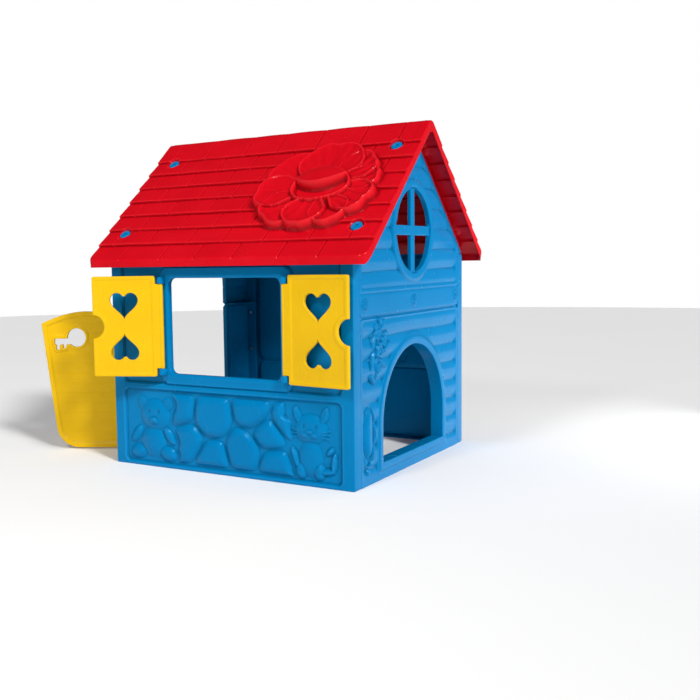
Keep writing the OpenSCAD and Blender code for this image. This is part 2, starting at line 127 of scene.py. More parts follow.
def outline_field(u: Array, v: Array, points: Array) -> Array:
    """Signed distance to a closed outline, negative inside.

    Args:
        u, v: plan positions.
        points: the outline's corners in order.

    Returns:
        The distance at each position.
    """
    best, flips = np.full(np.shape(u), np.inf), np.zeros(np.shape(u), int)
    for (au, av), (bu, bv) in zip(points, np.roll(points, -1, axis=0)):
        du, dv = bu - au, bv - av
        t = np.clip(((u - au) * du + (v - av) * dv) / (du * du + dv * dv + 1e-12), 0, 1)
        best = np.minimum(best, (u - au - t * du) ** 2 + (v - av - t * dv) ** 2)
        if av != bv:
            flips += ((av > v) != (bv > v)) & (u < au + du * (v - av) / dv)
    return np.sqrt(best) * np.where(flips % 2 == 1, -1, 1)


def bar_field(u: Array, v: Array, start: Sequence[float], end: Sequence[float], radius: float) -> Array:
    """Signed distance to a straight bar with round ends."""
    du, dv = end[0] - start[0], end[1] - start[1]
    t = np.clip(((u - start[0]) * du + (v - start[1]) * dv) / (du * du + dv * dv), 0, 1)
    return np.hypot(u - start[0] - t * du, v - start[1] - t * dv) - radius


def arch_field(u: Array, v: Array, centre: float, radius: float, foot: float, top: float) -> Array:
    """Signed distance to an upright opening with a half-round top, negative inside it."""
    spring = top - radius
    shaft = span_field(u, v, centre - radius, centre + radius, foot, top)
    sides = np.maximum(np.abs(u - centre) - radius, -radius)
    return np.where(v > spring, disc_field(u, v, (centre, spring), radius),
                    np.where(v < foot + radius, shaft, sides))


def rise(distance: Array, width: float) -> Array:
    """Smooth step that is 1 inside a shape and 0 outside it, over a slope of the given width."""
    t = np.clip(0.5 - distance / width, 0, 1)
    return t * t * (3 - 2 * t)


def dome(distance: Array, reach: float) -> Array:
    """Round pillow inside a shape: 0 at its edge, and 1 from the given reach inwards."""
    t = np.clip(-distance / reach, 0, 1)
    return np.sqrt(np.maximum(1 - (1 - t) ** 2, 0))


def pillow(distance: Array, reach: float) -> Array:
    """Soft pillow inside a shape: a quarter sine from 0 at its edge to 1 from the given reach inwards."""
    return np.sin(np.clip(-distance / reach, 0, 1) * math.pi / 2) ** 0.85


def blend_max(a: Array, b: Array, width: float) -> Array:
    """Greater of two heights, with the crease between them rounded over the width."""
    k = np.clip(0.5 + (a - b) / (2 * width), 0, 1)
    return b + (a - b) * k + width * k * (1 - k)


def grid_lines(low: float, high: float, step: float, marks: Sequence[float] = ()) -> Array:
    """Even coordinates from low to high, with a line at each mark and none crowding it.

    Args:
        low, high: ends of the range.
        step: greatest spacing of the even lines.
        marks: coordinates that get a line of their own.

    Returns:
        The sorted coordinates.
    """
    even = np.linspace(low, high, max(2, int(math.ceil((high - low) / step)) + 1))
    wanted = np.unique(np.round([m for m in marks if low < m < high], 6))
    if wanted.size:
        even = even[np.abs(even[:, None] - wanted[None, :]).min(axis=1) > 0.35 * step]
    return np.unique(np.concatenate([even, wanted, [low, high]]))


def banded_lines(marks: Sequence[float], *bands: tuple[float, float, float]) -> Array:
    """Grid lines over touching bands, each given by its low end, high end and step, with their marks."""
    return np.unique(np.concatenate([grid_lines(low, high, step, marks) for low, high, step in bands]))


# ---------------------------------------------------------------- meshes

@dataclass
class Surface:
    """Vertices in millimetres and faces of one or more closed shells."""

    points: Array
    quads: Array
    caps: list = field(default_factory=list)
    # painted light for each point: below 0 it becomes painted shade, above 0 a painted highlight
    painted_lights: Optional[Array] = None

    @staticmethod
    def joined(parts: Sequence["Surface"]) -> "Surface":
        """Puts several shells into one surface."""
        shifts = np.cumsum([0] + [len(p.points) for p in parts])
        painted_lights = [np.zeros(len(p.points)) if p.painted_lights is None else p.painted_lights for p in parts]
        return Surface(np.concatenate([p.points for p in parts]),
                       np.concatenate([p.quads + n for p, n in zip(parts, shifts)]),
                       [cap + n for p, n in zip(parts, shifts) for cap in p.caps], np.concatenate(painted_lights))

    @staticmethod
    def stacked(rings: Array, place: Local) -> "Surface":
        """A closed solid through rings of equally many points, with a cap at each end.

        Args:
            rings: local points, by ring from the lowest to the highest and by place round the ring.
            place: turns local points into points of the model.

        Returns:
            The solid.
        """
        count, sides = rings.shape[:2]
        rows, cols = np.meshgrid(np.arange(count - 1), np.arange(sides), indexing="ij")
        start, after = rows * sides + cols, rows * sides + (cols + 1) % sides
        quads = np.stack([start, after, after + sides, start + sides], axis=-1).reshape(-1, 4)
        caps = [np.arange(sides)[::-1], np.arange(sides) + (count - 1) * sides]
        return Surface(place(rings.reshape(-1, 3)), quads, caps)

    def turned(self, angle: float, shift: Sequence[float]) -> "Surface":
        """Turns the surface about Z by an angle in degrees, then moves it."""
        c, s = math.cos(math.radians(angle)), math.sin(math.radians(angle))
        turn = np.array([[c, s, 0], [-s, c, 0], [0, 0, 1]])
        return Surface(self.points @ turn + np.array(shift), self.quads, self.caps, self.painted_lights)

    def mirrored(self) -> "Surface":
        """The mirror image across the YZ plane."""
        return Surface(self.points * [-1, 1, 1], self.quads[:, ::-1], [cap[::-1] for cap in self.caps],
                       self.painted_lights)

    def piece(self, name: str, crease: float = 38) -> bpy.types.Object:
        """Makes a smooth-shaded object of the surface.

        Args:
            name: the object's name.
            crease: angle in degrees past which an edge shades sharp.

        Returns:
            The new object, at the origin.
        """
        sizes = np.concatenate([np.full(len(self.quads), 4), [len(c) for c in self.caps]]).astype(int)
        corners = np.concatenate([self.quads.ravel()] + [np.asarray(c) for c in self.caps]).astype(int)
        mesh = bpy.data.meshes.new(name)
        mesh.vertices.add(len(self.points))
        mesh.vertices.foreach_set("co", (self.points * MM).astype(np.float32).ravel())
        mesh.loops.add(len(corners))
        mesh.loops.foreach_set("vertex_index", corners)
        mesh.polygons.add(len(sizes))
        mesh.polygons.foreach_set("loop_start", np.concatenate([[0], np.cumsum(sizes)[:-1]]))
        mesh.polygons.foreach_set("loop_total", sizes)
        mesh.polygons.foreach_set("use_smooth", np.ones(len(sizes), bool))
        mesh.update(calc_edges=True)
        # the painted light goes on the mesh as a point attribute for the material
        if self.painted_lights is not None:
            layer = mesh.attributes.new("painted_light", "FLOAT", "POINT")
            layer.data.foreach_set("value", self.painted_lights.astype(np.float32))
        mesh.validate()
        mesh.set_sharp_from_angle(angle=math.radians(crease))
        made = bpy.data.objects.new(name, mesh)
        bpy.context.collection.objects.link(made)
        return made


@dataclass(frozen=True)
class Wall:
    """How thick a moulded shell is and how its edges are rounded, in millimetres."""

    skin: float = 3
    fillet: float = 2.5
    turns: int = 4


def outward(inside: Field, u: Array, v: Array) -> tuple[Array, Array, Array]:
    """Distance to the outline and the plan direction out of the material at some positions."""
    reach = 0.2
    du = (inside(u + reach, v) - inside(u - reach, v)) / (2 * reach)
    dv = (inside(u, v + reach) - inside(u, v - reach)) / (2 * reach)
    size = np.hypot(du, dv) + 1e-12
    return inside(u, v), -du / size, -dv / size


def moulded_shell(u_lines: Array, v_lines: Array, inside: Field, outer: Field, inner: Field, place: Place,
                  wall: Wall, foot: Optional[Field] = None) -> Surface:
    """A closed thin shell over a plan outline with holes.

    A grid covers the plan. Cells inside the outline are kept, and the vertices on their border are moved
    along the distance's slope until they lie one fillet inside the outline. From there a quarter round turns
    down the edge. With a foot the edge runs on as a rim to that height and back up behind one skin of
    material; without one it turns round to the inner face at once.

    Args:
        u_lines, v_lines: grid coordinates.
        inside: distance from the outline, positive in the material.
        outer: height of the outer face.
        inner: height of the inner face.
        place: turns plan positions and heights into points.
        wall: skin and fillet.
        foot: height of the rim's free edge, where there is a rim.

    Returns:
        The shell.
    """
    u, v = np.meshgrid(u_lines, v_lines, indexing="ij")
    mid_u, mid_v = np.meshgrid((u_lines[1:] + u_lines[:-1]) / 2, (v_lines[1:] + v_lines[:-1]) / 2,
                               indexing="ij")
    keep = inside(mid_u, mid_v) > wall.fillet
    index = np.arange(u.size).reshape(u.shape)
    quads = np.stack([index[:-1, :-1], index[1:, :-1], index[1:, 1:], index[:-1, 1:]], axis=-1)[keep]
    padded = np.pad(keep, 1)
    open_sides = [keep & ~side for side in (padded[1:-1, :-2], padded[2:, 1:-1], padded[1:-1, 2:],
                                            padded[:-2, 1:-1])]
    corner = [(index[:-1, :-1], index[1:, :-1]), (index[1:, :-1], index[1:, 1:]),
              (index[1:, 1:], index[:-1, 1:]), (index[:-1, 1:], index[:-1, :-1])]
    edges = np.concatenate([np.stack([a[s], b[s]], axis=-1) for s, (a, b) in zip(open_sides, corner)])
    rim = np.unique(edges)
    flat_u, flat_v = u.ravel().copy(), v.ravel().copy()
    for _ in range(4):
        gap, out_u, out_v = outward(inside, flat_u[rim], flat_v[rim])
        flat_u[rim] += (gap - wall.fillet) * out_u
        flat_v[rim] += (gap - wall.fillet) * out_v
    _, out_u, out_v = outward(inside, flat_u[rim], flat_v[rim])
    top, back = outer(flat_u, flat_v), inner(flat_u, flat_v)
    turns = np.linspace(0, math.pi / 2, wall.turns + 1)[1:]
    rings = [(wall.fillet * math.sin(a), top[rim] - wall.fillet * (1 - math.cos(a))) for a in turns]
    if foot is None:
        rings += [(wall.fillet * math.sin(a), back[rim] + wall.fillet * (1 - math.cos(a)))
                  for a in turns[::-1]]
        inset = 0.0
    else:
        low = foot(flat_u[rim], flat_v[rim])
        soft = min(0.25 * wall.skin, 0.8)
        inset = wall.fillet - wall.skin
        rings += [(wall.fillet, low + soft), (wall.fillet - soft, low), (inset + soft, low),
                  (inset, low + soft)]
    used, quads = np.unique(quads, return_inverse=True)
    quads = quads.reshape(-1, 4)
    edges = np.searchsorted(used, edges)
    on_rim = np.searchsorted(used, rim)
    slot = np.full(len(used), -1)
    slot[on_rim] = np.arange(len(rim))
    inner_u, inner_v = flat_u[used].copy(), flat_v[used].copy()
    inner_u[on_rim] += inset * out_u
    inner_v[on_rim] += inset * out_v
    count, ring = len(used), len(rim)
    layers = [place(flat_u[used], flat_v[used], top[used])]
    layers += [place(flat_u[rim] + o * out_u, flat_v[rim] + o * out_v, h) for o, h in rings]
    layers += [place(inner_u, inner_v, back[used])]
    # painted light: how far a point stands above the mean of its neighbours, as painted shade below them and
    # painted highlight above
    around = [outer(flat_u[used] + a, flat_v[used] + b)
              for a, b in ((6, 0), (-6, 0), (0, 6), (0, -6), (3, 3), (-3, -3))]
    painted_light = np.clip((top[used] - np.mean(around, axis=0)) / 2.3, -1, 1)
    # rim points get no painted shade, only painted highlight
    painted_light[on_rim] = np.maximum(painted_light[on_rim], 0.0)
    painted_lights = np.concatenate([painted_light, np.zeros(ring * len(rings) + count)])
    last = count + ring * len(rings)
    strips, a, b = [], edges[:, 0], edges[:, 1]
    for level in range(len(rings) + 1):
        low_a = last + a if level == len(rings) else count + level * ring + slot[a]
        low_b = last + b if level == len(rings) else count + level * ring + slot[b]
        high_a = a if level == 0 else count + (level - 1) * ring + slot[a]
        high_b = b if level == 0 else count + (level - 1) * ring + slot[b]
        strips.append(np.stack([high_b, high_a, low_a, low_b], axis=-1))
    return Surface(np.concatenate(layers), np.concatenate([quads, quads[:, ::-1] + last] + strips),
                   painted_lights=painted_lights)


def in_place(local: Array) -> Array:
    """Leaves local points where they are."""
    return local


def lathe(profile: Sequence[Sequence[float]], place: Local, sides: int = 48) -> Surface:
    """A closed solid of revolution about the local Z axis.

    Args:
        profile: (radius, height) pairs from the bottom to the top; both ends are closed with a cap.
        place: turns local points into points of the model.
        sides: number of faces round the axis.

    Returns:
        The solid.
    """
    outline = np.array(profile, float)
    angle = np.arange(sides) * 2 * math.pi / sides
    across = [np.outer(outline[:, 0], wave(angle)) for wave in (np.cos, np.sin)]
    return Surface.stacked(np.stack(across + [np.repeat(outline[:, 1:2], sides, axis=1)], axis=-1), place)


def bevelled_prism(outline: Array, low: float, high: float, soft: float, place: Local) -> Surface:
    """An outline drawn out along the local Z axis, with softened ends.

    Args:
        outline: plan points in anticlockwise order.
        low, high: heights of the two ends.
        soft: size of the softening at each end.
        place: turns local points into points of the model.

    Returns:
        The solid.
    """
    along = np.roll(outline, -1, axis=0) - np.roll(outline, 1, axis=0)
    normal = np.stack([along[:, 1], -along[:, 0]], axis=-1)
    normal /= np.linalg.norm(normal, axis=1, keepdims=True) + 1e-12
    rings = [np.column_stack([outline - inset * normal, np.full(len(outline), z)])
             for inset, z in softened(low, high, soft)]
    return Surface.stacked(np.array(rings), place)


def softened(low: float, high: float, soft: float) -> list[tuple[float, float]]:
    """Inset and height of the rings of a bar from low to high whose ends are softened."""
    return [(soft, low), (0.3 * soft, low + 0.3 * soft), (0, low + soft), (0, high - soft),
            (0.3 * soft, high - 0.3 * soft), (soft, high)]


def rounded_outline(half: Sequence[float], radius: float, steps: int = 6) -> Array:
    """Anticlockwise outline of a rounded rectangle round the origin."""
    angle = np.linspace(0, math.pi / 2, steps)
    quarter = [(1, 1, 0), (-1, 1, 1), (-1, -1, 2), (1, -1, 3)]
    return np.concatenate([np.column_stack([
        sx * (half[0] - radius) + radius * np.cos(angle + k * math.pi / 2),
        sy * (half[1] - radius) + radius * np.sin(angle + k * math.pi / 2)]) for sx, sy, k in quarter])


# ---------------------------------------------------------------- finishes

class Shading:
    """A new material whose patterns lie in the object's own space, with short ways to make its nodes."""

    def __init__(self, name: str) -> None:
        """Starts the material with its main shader."""
        self.material = bpy.data.materials.new(name)
        self.material.use_nodes = True
        self.nodes, self.links = self.material.node_tree.nodes, self.material.node_tree.links
        self.shader = self.nodes["Principled BSDF"]
        self.place = self.nodes.new("ShaderNodeTexCoord")

    def node(self, kind: str, values: dict[str, float]) -> bpy.types.Node:
        """A new node with some of its inputs set."""
        made = self.nodes.new("ShaderNode" + kind)
        for socket, value in values.items():
            made.inputs[socket].default_value = value
        return made

    def noise(self, scale: float, detail: float = 2) -> bpy.types.NodeSocket:
        """Noise over the object's own space."""
        made = self.node("TexNoise", {"Scale": scale, "Detail": detail})
        self.links.new(self.place.outputs["Object"], made.inputs["Vector"])
        return made.outputs["Fac"]

    def span(self, value: bpy.types.NodeSocket, low: float, high: float, start: float = 0.3,
             end: float = 0.7) -> bpy.types.NodeSocket:
        """Maps one range of a value, the middle of a noise unless told otherwise, onto another.

        Args:
            value: the value.
            low, high: the range it is mapped on to.
            start, end: the range it is mapped from.

        Returns:
            The mapped value.
        """
        made = self.node("MapRange", {"From Min": start, "From Max": end, "To Min": low, "To Max": high})
        self.links.new(value, made.inputs["Value"])
        return made.outputs["Result"]

    def ramp(self, value: bpy.types.NodeSocket, low: Sequence[float],
             high: Sequence[float]) -> bpy.types.NodeSocket:
        """The colour between two colours at a value."""
        made = self.nodes.new("ShaderNodeValToRGB")
        for stop, colour in zip(made.color_ramp.elements, (low, high)):
            stop.color = (*colour, 1)
        self.links.new(value, made.inputs["Fac"])
        return made.outputs["Color"]

    def mix(self, share: bpy.types.NodeSocket, first: Union[bpy.types.NodeSocket, Sequence[float]],
            second: Sequence[float]) -> bpy.types.NodeSocket:
        """Mixes two colours.

        Args:
            share: the second colour's share.
            first: a colour, or a socket that gives one.
            second: the other colour.

        Returns:
            The mixed colour.
        """
        made = self.nodes.new("ShaderNodeMix")
        made.data_type = "RGBA"
        made.inputs["B"].default_value = (*second, 1)
        if isinstance(first, bpy.types.NodeSocket):
            self.links.new(first, made.inputs["A"])
        else:
            made.inputs["A"].default_value = (*first, 1)
        self.links.new(share, made.inputs["Factor"])
        return made.outputs["Result"]

    def finished(self, fed: dict[str, bpy.types.NodeSocket],
                 values: dict[str, Union[float, Sequence[float]]]) -> bpy.types.Material:
        """Feeds some of the shader's inputs, sets others, and returns the material."""
        for socket, source in fed.items():
            self.links.new(source, self.shader.inputs[socket])
        for socket, value in values.items():
            self.shader.inputs[socket].default_value = value
        return self.material


@dataclass(frozen=True)
class MouldedPlastic:
    """Blow-moulded plastic: one colour with faint clouding, painted shade and highlight, a fine skin and a
    soft gloss.
    """

    name: str
    colour: tuple[float, float, float]
    shade: tuple[float, float, float]
    roughness: float = 0.21
    skin: float = 0.05
    glint: tuple[float, float, float] = (1, 1, 1)

    def make(self) -> bpy.types.Material:
        """Builds the material.

        The colour wanders between the two tones with a broad noise. Painted shade darkens it down in creases
        and a painted highlight makes it a little paler on raised edges, both from the painted-light value
        that the mesh carries. The roughness follows a second noise, and two fine noises give the skin its
        slight unevenness.

        Returns:
            The material.
        """
        shading = Shading(self.name)
        noise, span = shading.noise, shading.span
        marks = shading.node("Attribute", {})
        marks.attribute_name = "painted_light"
        painted_light = marks.outputs["Fac"]
        tone = shading.mix(span(noise(7, 3), 0, 1), self.colour, self.shade)
        # painted shade: the colour darkens to half down in creases
        tone = shading.mix(span(painted_light, 0, 1, -0.05, -0.9), tone, [0.5 * c for c in self.colour])
        # painted highlight: the colour grows a little paler on raised edges
        tone = shading.mix(span(painted_light, 0, 1, 0.2, 1.1), tone, [min(1, 1.12 * c + 0.008) for c in self.colour])
        fine = shading.node("Bump", {"Strength": self.skin, "Distance": 0.0002})
        broad = shading.node("Bump", {"Strength": 0.15, "Distance": 0.0009})
        shading.links.new(noise(900), fine.inputs["Height"])
        shading.links.new(noise(16, 1), broad.inputs["Height"])
        shading.links.new(broad.outputs["Normal"], fine.inputs["Normal"])
        rough = span(noise(26, 4), self.roughness - 0.05, self.roughness + 0.07)
        return shading.finished(
            {"Base Color": tone, "Roughness": rough, "Normal": fine.outputs["Normal"]},
            {"IOR": 1.5, "Specular IOR Level": 0.16, "Specular Tint": (*self.glint, 1),
             "Subsurface Weight": 0.06, "Subsurface Radius": (0.006, 0.006, 0.006), "Subsurface Scale": 1.0})


@dataclass(frozen=True)
class ZincSteel:
    """Plated steel: pale grey, with a fine turned grain and small stains."""

    name: str = "zinc_steel_plated"
    colour: tuple[float, float, float] = (0.62, 0.64, 0.66)

    def make(self) -> bpy.types.Material:
        """Builds the material: metal whose roughness and tone follow a fine noise."""
        shading = Shading(self.name)
        grain = shading.noise(420, 4)
        tone = shading.ramp(grain, [0.7 * c for c in self.colour], self.colour)
        return shading.finished({"Base Color": tone, "Roughness": shading.span(grain, 0.22, 0.5, 0, 1)},
                                {"Metallic": 1.0})


@dataclass(frozen=True)
class PaleFloor:
    """A plain pale studio floor with a barely visible clouding."""

    name: str = "studio_floor"
    tone: float = 0.92

    def make(self) -> bpy.types.Material:
        """Builds the matt material, which mirrors nothing."""
        shading = Shading(self.name)
        tone = shading.ramp(shading.noise(1.5), [self.tone - 0.01] * 3, [self.tone + 0.01] * 3)
        return shading.finished({"Base Color": tone}, {"Roughness": 0.7, "Specular IOR Level": 0})


class Finish(Enum):
    """The finishes of the house, each with the record's slot that it belongs to."""

    RED = ("red_plastic", MouldedPlastic("red_moulded", (0.56, 0.003, 0.010), (0.50, 0.002, 0.008),
                                         glint=(1, 0.7, 0.7)))
    BLUE = ("blue_plastic", MouldedPlastic("blue_moulded", (0.0, 0.17, 0.40), (0.0, 0.157, 0.372),
                                           glint=(0.3, 0.7, 1)))
    YELLOW = ("yellow_plastic", MouldedPlastic("yellow_moulded", (0.70, 0.42, 0.001), (0.65, 0.385, 0.001),
                                               0.3))
    STEEL = ("zinc_steel", ZincSteel())

    @property
    def slot(self) -> str:
        """Name of the record's material slot."""
        return self.value[0]


class Palette:
    """Makes each finish once and puts it on pieces."""

    def __init__(self) -> None:
        """Builds every finish."""
        self.materials = {finish: finish.value[1].make() for finish in Finish}

    def dress(self, piece: bpy.types.Object, finish: Finish) -> None:
        """Gives a piece one finish all over."""
        piece.data.materials.clear()
        piece.data.materials.append(self.materials[finish])
        if "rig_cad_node" not in piece:
            finish.slot


# ---------------------------------------------------------------- the house's sizes

@dataclass(frozen=True)
class House:
    """The sizes that several pieces share, in millimetres, from the ground under the ridge's middle.

    Attributes:
        half_len, half_dep: half the length and half the depth over the walls.
        rim, recess, skin, lip: depth of a panel's rim, of its sunk fields, its wall and its openings' lips.
        band_foot, band_top, band_mid, band_screws: a gable's band and the place of its outer screws.
        bolts: places of the bolts on a slope, along it and up it.
        lugs: feet of the door's lugs.
    """

    half_len: float = 430
    half_dep: float = 405
    rim: float = 40
    recess: float = 8
    skin: float = 3
    lip: float = 14
    wall_top: float = 652.1
    ridge: float = 1060
    eave: float = 650
    roof_half: float = 450
    roof_len: float = 980
    roof_rim: float = 28
    band_foot: float = 480
    band_top: float = 542
    band_mid: float = 511
    band_screws: float = 335
    bolts: tuple = ((-415, 127), (-415, 483.8), (415, 127), (415, 483.8))
    lugs: tuple[float, float] = (70, 380)

    @property
    def pitch(self) -> float:
        """Slope of the roof in radians."""
        return math.atan2(self.ridge - self.eave, self.roof_half)

    @property
    def slope(self) -> float:
        """Length of the roof's slope."""
        return self.roof_half / math.cos(self.pitch)

    @property
    def inner_dep(self) -> float:
        """Half length of a gable between the long walls."""
        return self.half_dep - self.rim

    def on_slope(self, along: Array, out: Array) -> tuple[Array, Array]:
        """Y and Z of places up the front slope and square out of it."""
        c, s = math.cos(self.pitch), math.sin(self.pitch)
        return along * c - out * s - self.roof_half, along * s + out * c + self.eave


HOUSE = House()


def slope_points(front: bool, u: Array, y: Array, z: Array) -> Array:
    """Points of a slope from those of the front one, which the rear one is turned half round."""
    turn = 1 if front else -1
    return np.stack([turn * u, turn * y, z], axis=-1)


class Face(Enum):
    """A side of the house, by the quarter turns from the front."""

    FRONT = 0
    RIGHT = 1
    BACK = 2
    LEFT = 3

    def place(self, u: Array, v: Array, h: Array) -> Array:
        """Turns plan positions on this side, u along it and v up, and heights in front of it into points."""
        reach = HOUSE.half_dep if self in (Face.FRONT, Face.BACK) else HOUSE.half_len
        c, s = round(math.cos(self.value * math.pi / 2)), round(math.sin(self.value * math.pi / 2))
        return np.stack([u * c + (reach + h) * s, u * s - (reach + h) * c, v + 0 * u], axis=-1)

    def upright(self, u: float, out: float) -> Local:
        """Places local points whose Z axis stands upright, u along this side and out in front of it."""
        return lambda local: self.place(local[:, 0] + u, local[:, 2], out - local[:, 1])

    def facing(self, u: float, v: float) -> Local:
        """Places local points whose Z axis points out of this side."""
        return lambda local: self.place(local[:, 0] + u, local[:, 1] + v, local[:, 2])


@dataclass
class Moulding:
    """A visible piece that stands in for a node.

    Attributes:
        name: the node.
        body: the body it rides on.
    """

    finish: ClassVar[Finish] = Finish.BLUE
    crease: ClassVar[float] = 38

    name: str
    body: str = field(default="house", kw_only=True)

    def surface(self) -> Surface:
        """The piece's whole surface."""
        raise NotImplementedError

    def build(self, palette: Palette) -> bpy.types.Object:
        """Builds and dresses the piece in place of its node."""
        piece = self.surface().piece(self.name + "_moulding", self.crease)
        palette.dress(piece, self.finish)
        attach(piece, self.body)
        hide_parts(self.name)
        return piece


@dataclass
class Shell(Moulding):
    """A moulding that is a thin shell over a plan outline, with small solids joined to it.

    Attributes:
        step: spacing of the grid that it is shaped on.
    """

    wall: ClassVar[Wall] = Wall()
    rimmed: ClassVar[bool] = True

    step: float = field(default=4.0, kw_only=True)

    def inside(self, u: Array, v: Array) -> Array:
        """Distance from the outline and the openings, positive in the material."""
        raise NotImplementedError

    def outer(self, u: Array, v: Array) -> Array:
        """Height of the outer face."""
        raise NotImplementedError

    def inner(self, u: Array, v: Array) -> Array:
        """Height of the inner face."""
        raise NotImplementedError

    def rim_end(self, u: Array, v: Array) -> Array:
        """Height of the rim's free edge, where there is a rim."""
        raise NotImplementedError

    def place(self, u: Array, v: Array, h: Array) -> Array:
        """Turns plan positions and heights into points."""
        raise NotImplementedError

    def lines(self) -> tuple[Array, Array]:
        """The grid the shell is shaped on."""
        raise NotImplementedError

    def extras(self) -> list[Surface]:
        """The small solids that belong to the piece."""
        return []

    def surface(self) -> Surface:
        """The shell with its small solids."""
        shell = moulded_shell(*self.lines(), self.inside, self.outer, self.inner, self.place, self.wall,
                              self.rim_end if self.rimmed else None)
        return Surface.joined([shell] + self.extras())


@dataclass
class WallPanel(Shell):
    """What the wall panels share: the face they stand on, and a rim that is shallower round an opening.

    Attributes:
        face: the side it stands on.
        lip: depth of the rim round its opening.
    """

    lip_width: ClassVar[float] = 10

    face: Face
    lip: float = HOUSE.lip

    def opening(self, u: Array, v: Array, grow: float = 0.0) -> Array:
        """Signed distance to the panel's opening, grown by some width."""
        raise NotImplementedError

    def rim_end(self, u: Array, v: Array) -> Array:
        """Height of the rim's free edge: the lip's depth near the opening, and the rim's elsewhere."""
        return np.where(self.opening(u, v) < self.lip_width, -self.lip, -HOUSE.rim)

    def place(self, u: Array, v: Array, h: Array) -> Array:
        """Turns plan positions and heights into points on the panel's side of the house."""
        return self.face.place(u, v, h)


def hinge_lug(face: Face, u: float, foot: float, axis: float) -> Surface:
    """A moulded hinge lug: a round eye on a block that grows out of the wall.

    Args:
        face: the side it stands on.
        u: its place along the side.
        foot: height of its lower end.
        axis: distance of the eye in front of the wall.

    Returns:
        The lug.
    """
    radius, tall, root = 11, 20, axis + 7
    angle = np.linspace(-math.pi / 2, math.pi / 2, 17)
    eye = radius * np.column_stack([np.sin(angle), -np.cos(angle)])
    outline = np.concatenate([[[radius, root], [-radius, root]], eye])
    return bevelled_prism(outline, foot, foot + tall, 1.6, face.upright(u, axis))


# ---------------------------------------------------------------- reliefs

@dataclass
class StoneWork:
    """Rounded field stones moulded into a sunk panel: the cells round listed middles, each a soft pillow.

    Attributes:
        middles: the stones' middles.
        gap: distance that each stone keeps from its cell's edge.
        soft: rounding of the cells' corners.
        reach: width over which a stone rises.
        tall: height of a stone.
    """

    middles: tuple = ((-62, 176), (104, 206), (66, 74), (-150, 92), (-60, 36), (152, 140), (202, 184),
                      (166, 44), (-178, 190))
    gap: float = 1.5
    soft: float = 8
    reach: float = 22
    tall: float = 13
    def height(self, u: Array, v: Array, bounds: Array) -> Array:
        """Height of the stones over the panel.

        The cell of a middle is where it is the nearest one. The distance to the cell's edge is the least
        distance to the mid lines towards the other middles, softened at the corners, and the pillow rises
        from it.

        Args:
            u, v: plan positions.
            bounds: distance that must stay positive for stones to stand there.

        Returns:
            The height.
        """
        seeds = np.array(self.middles, float)
        away = np.hypot(u[..., None] - seeds[:, 0], v[..., None] - seeds[:, 1])
        nearest = away.argmin(axis=-1)
        home = seeds[nearest]
        edge = np.zeros(u.shape)
        for su, sv in self.middles:
            du, dv = su - home[..., 0], sv - home[..., 1]
            size = np.hypot(du, dv)
            line = ((home[..., 0] + su) / 2 - u) * du + ((home[..., 1] + sv) / 2 - v) * dv
            edge += np.where(size > 1, np.exp(-np.clip(line / np.maximum(size, 1), -20, 400) / self.soft), 0)
        edge += np.exp(-np.clip(bounds, -20, 400) / self.soft)
        inner = -self.soft * np.log(edge + 1e-12)
        return self.tall * pillow(-(inner - self.gap), self.reach)


@dataclass
class Animal:
    """A plain animal in low relief, made of soft ovals.

    Attributes:
        ovals: middle u, v, half axes, turn and height of each raised oval.
        dents: the same for the sunk ones.
        bars: start u, v, end u, v, radius and height of raised bars.
        bold: factor on the heights of what is raised.
    """

    ovals: tuple
    dents: tuple = ()
    bars: tuple = ()
    bold: float = 1.3

    def shape(self, u: Array, v: Array) -> tuple[Array, Array]:
        """Height of the animal and the distance from its outline."""
        height, outline = np.zeros(u.shape), np.full(u.shape, 1e3)
        for cu, cv, a, b, turn, tall in self.ovals:
            distance = oval_field(u, v, (cu, cv), (a, b), turn)
            height = blend_max(height, self.bold * tall * pillow(distance, 0.62 * min(a, b) + 5), 1.0)
            outline = np.minimum(outline, distance)
        for au, av, bu, bv, radius, tall in self.bars:
            distance = bar_field(u, v, (au, av), (bu, bv), radius)
            height += self.bold * tall * rise(distance + 0.5, 3.5)
        for cu, cv, a, b, turn, deep in self.dents:
            height -= deep * rise(oval_field(u, v, (cu, cv), (a, b), turn), 2.5)
        return height, outline


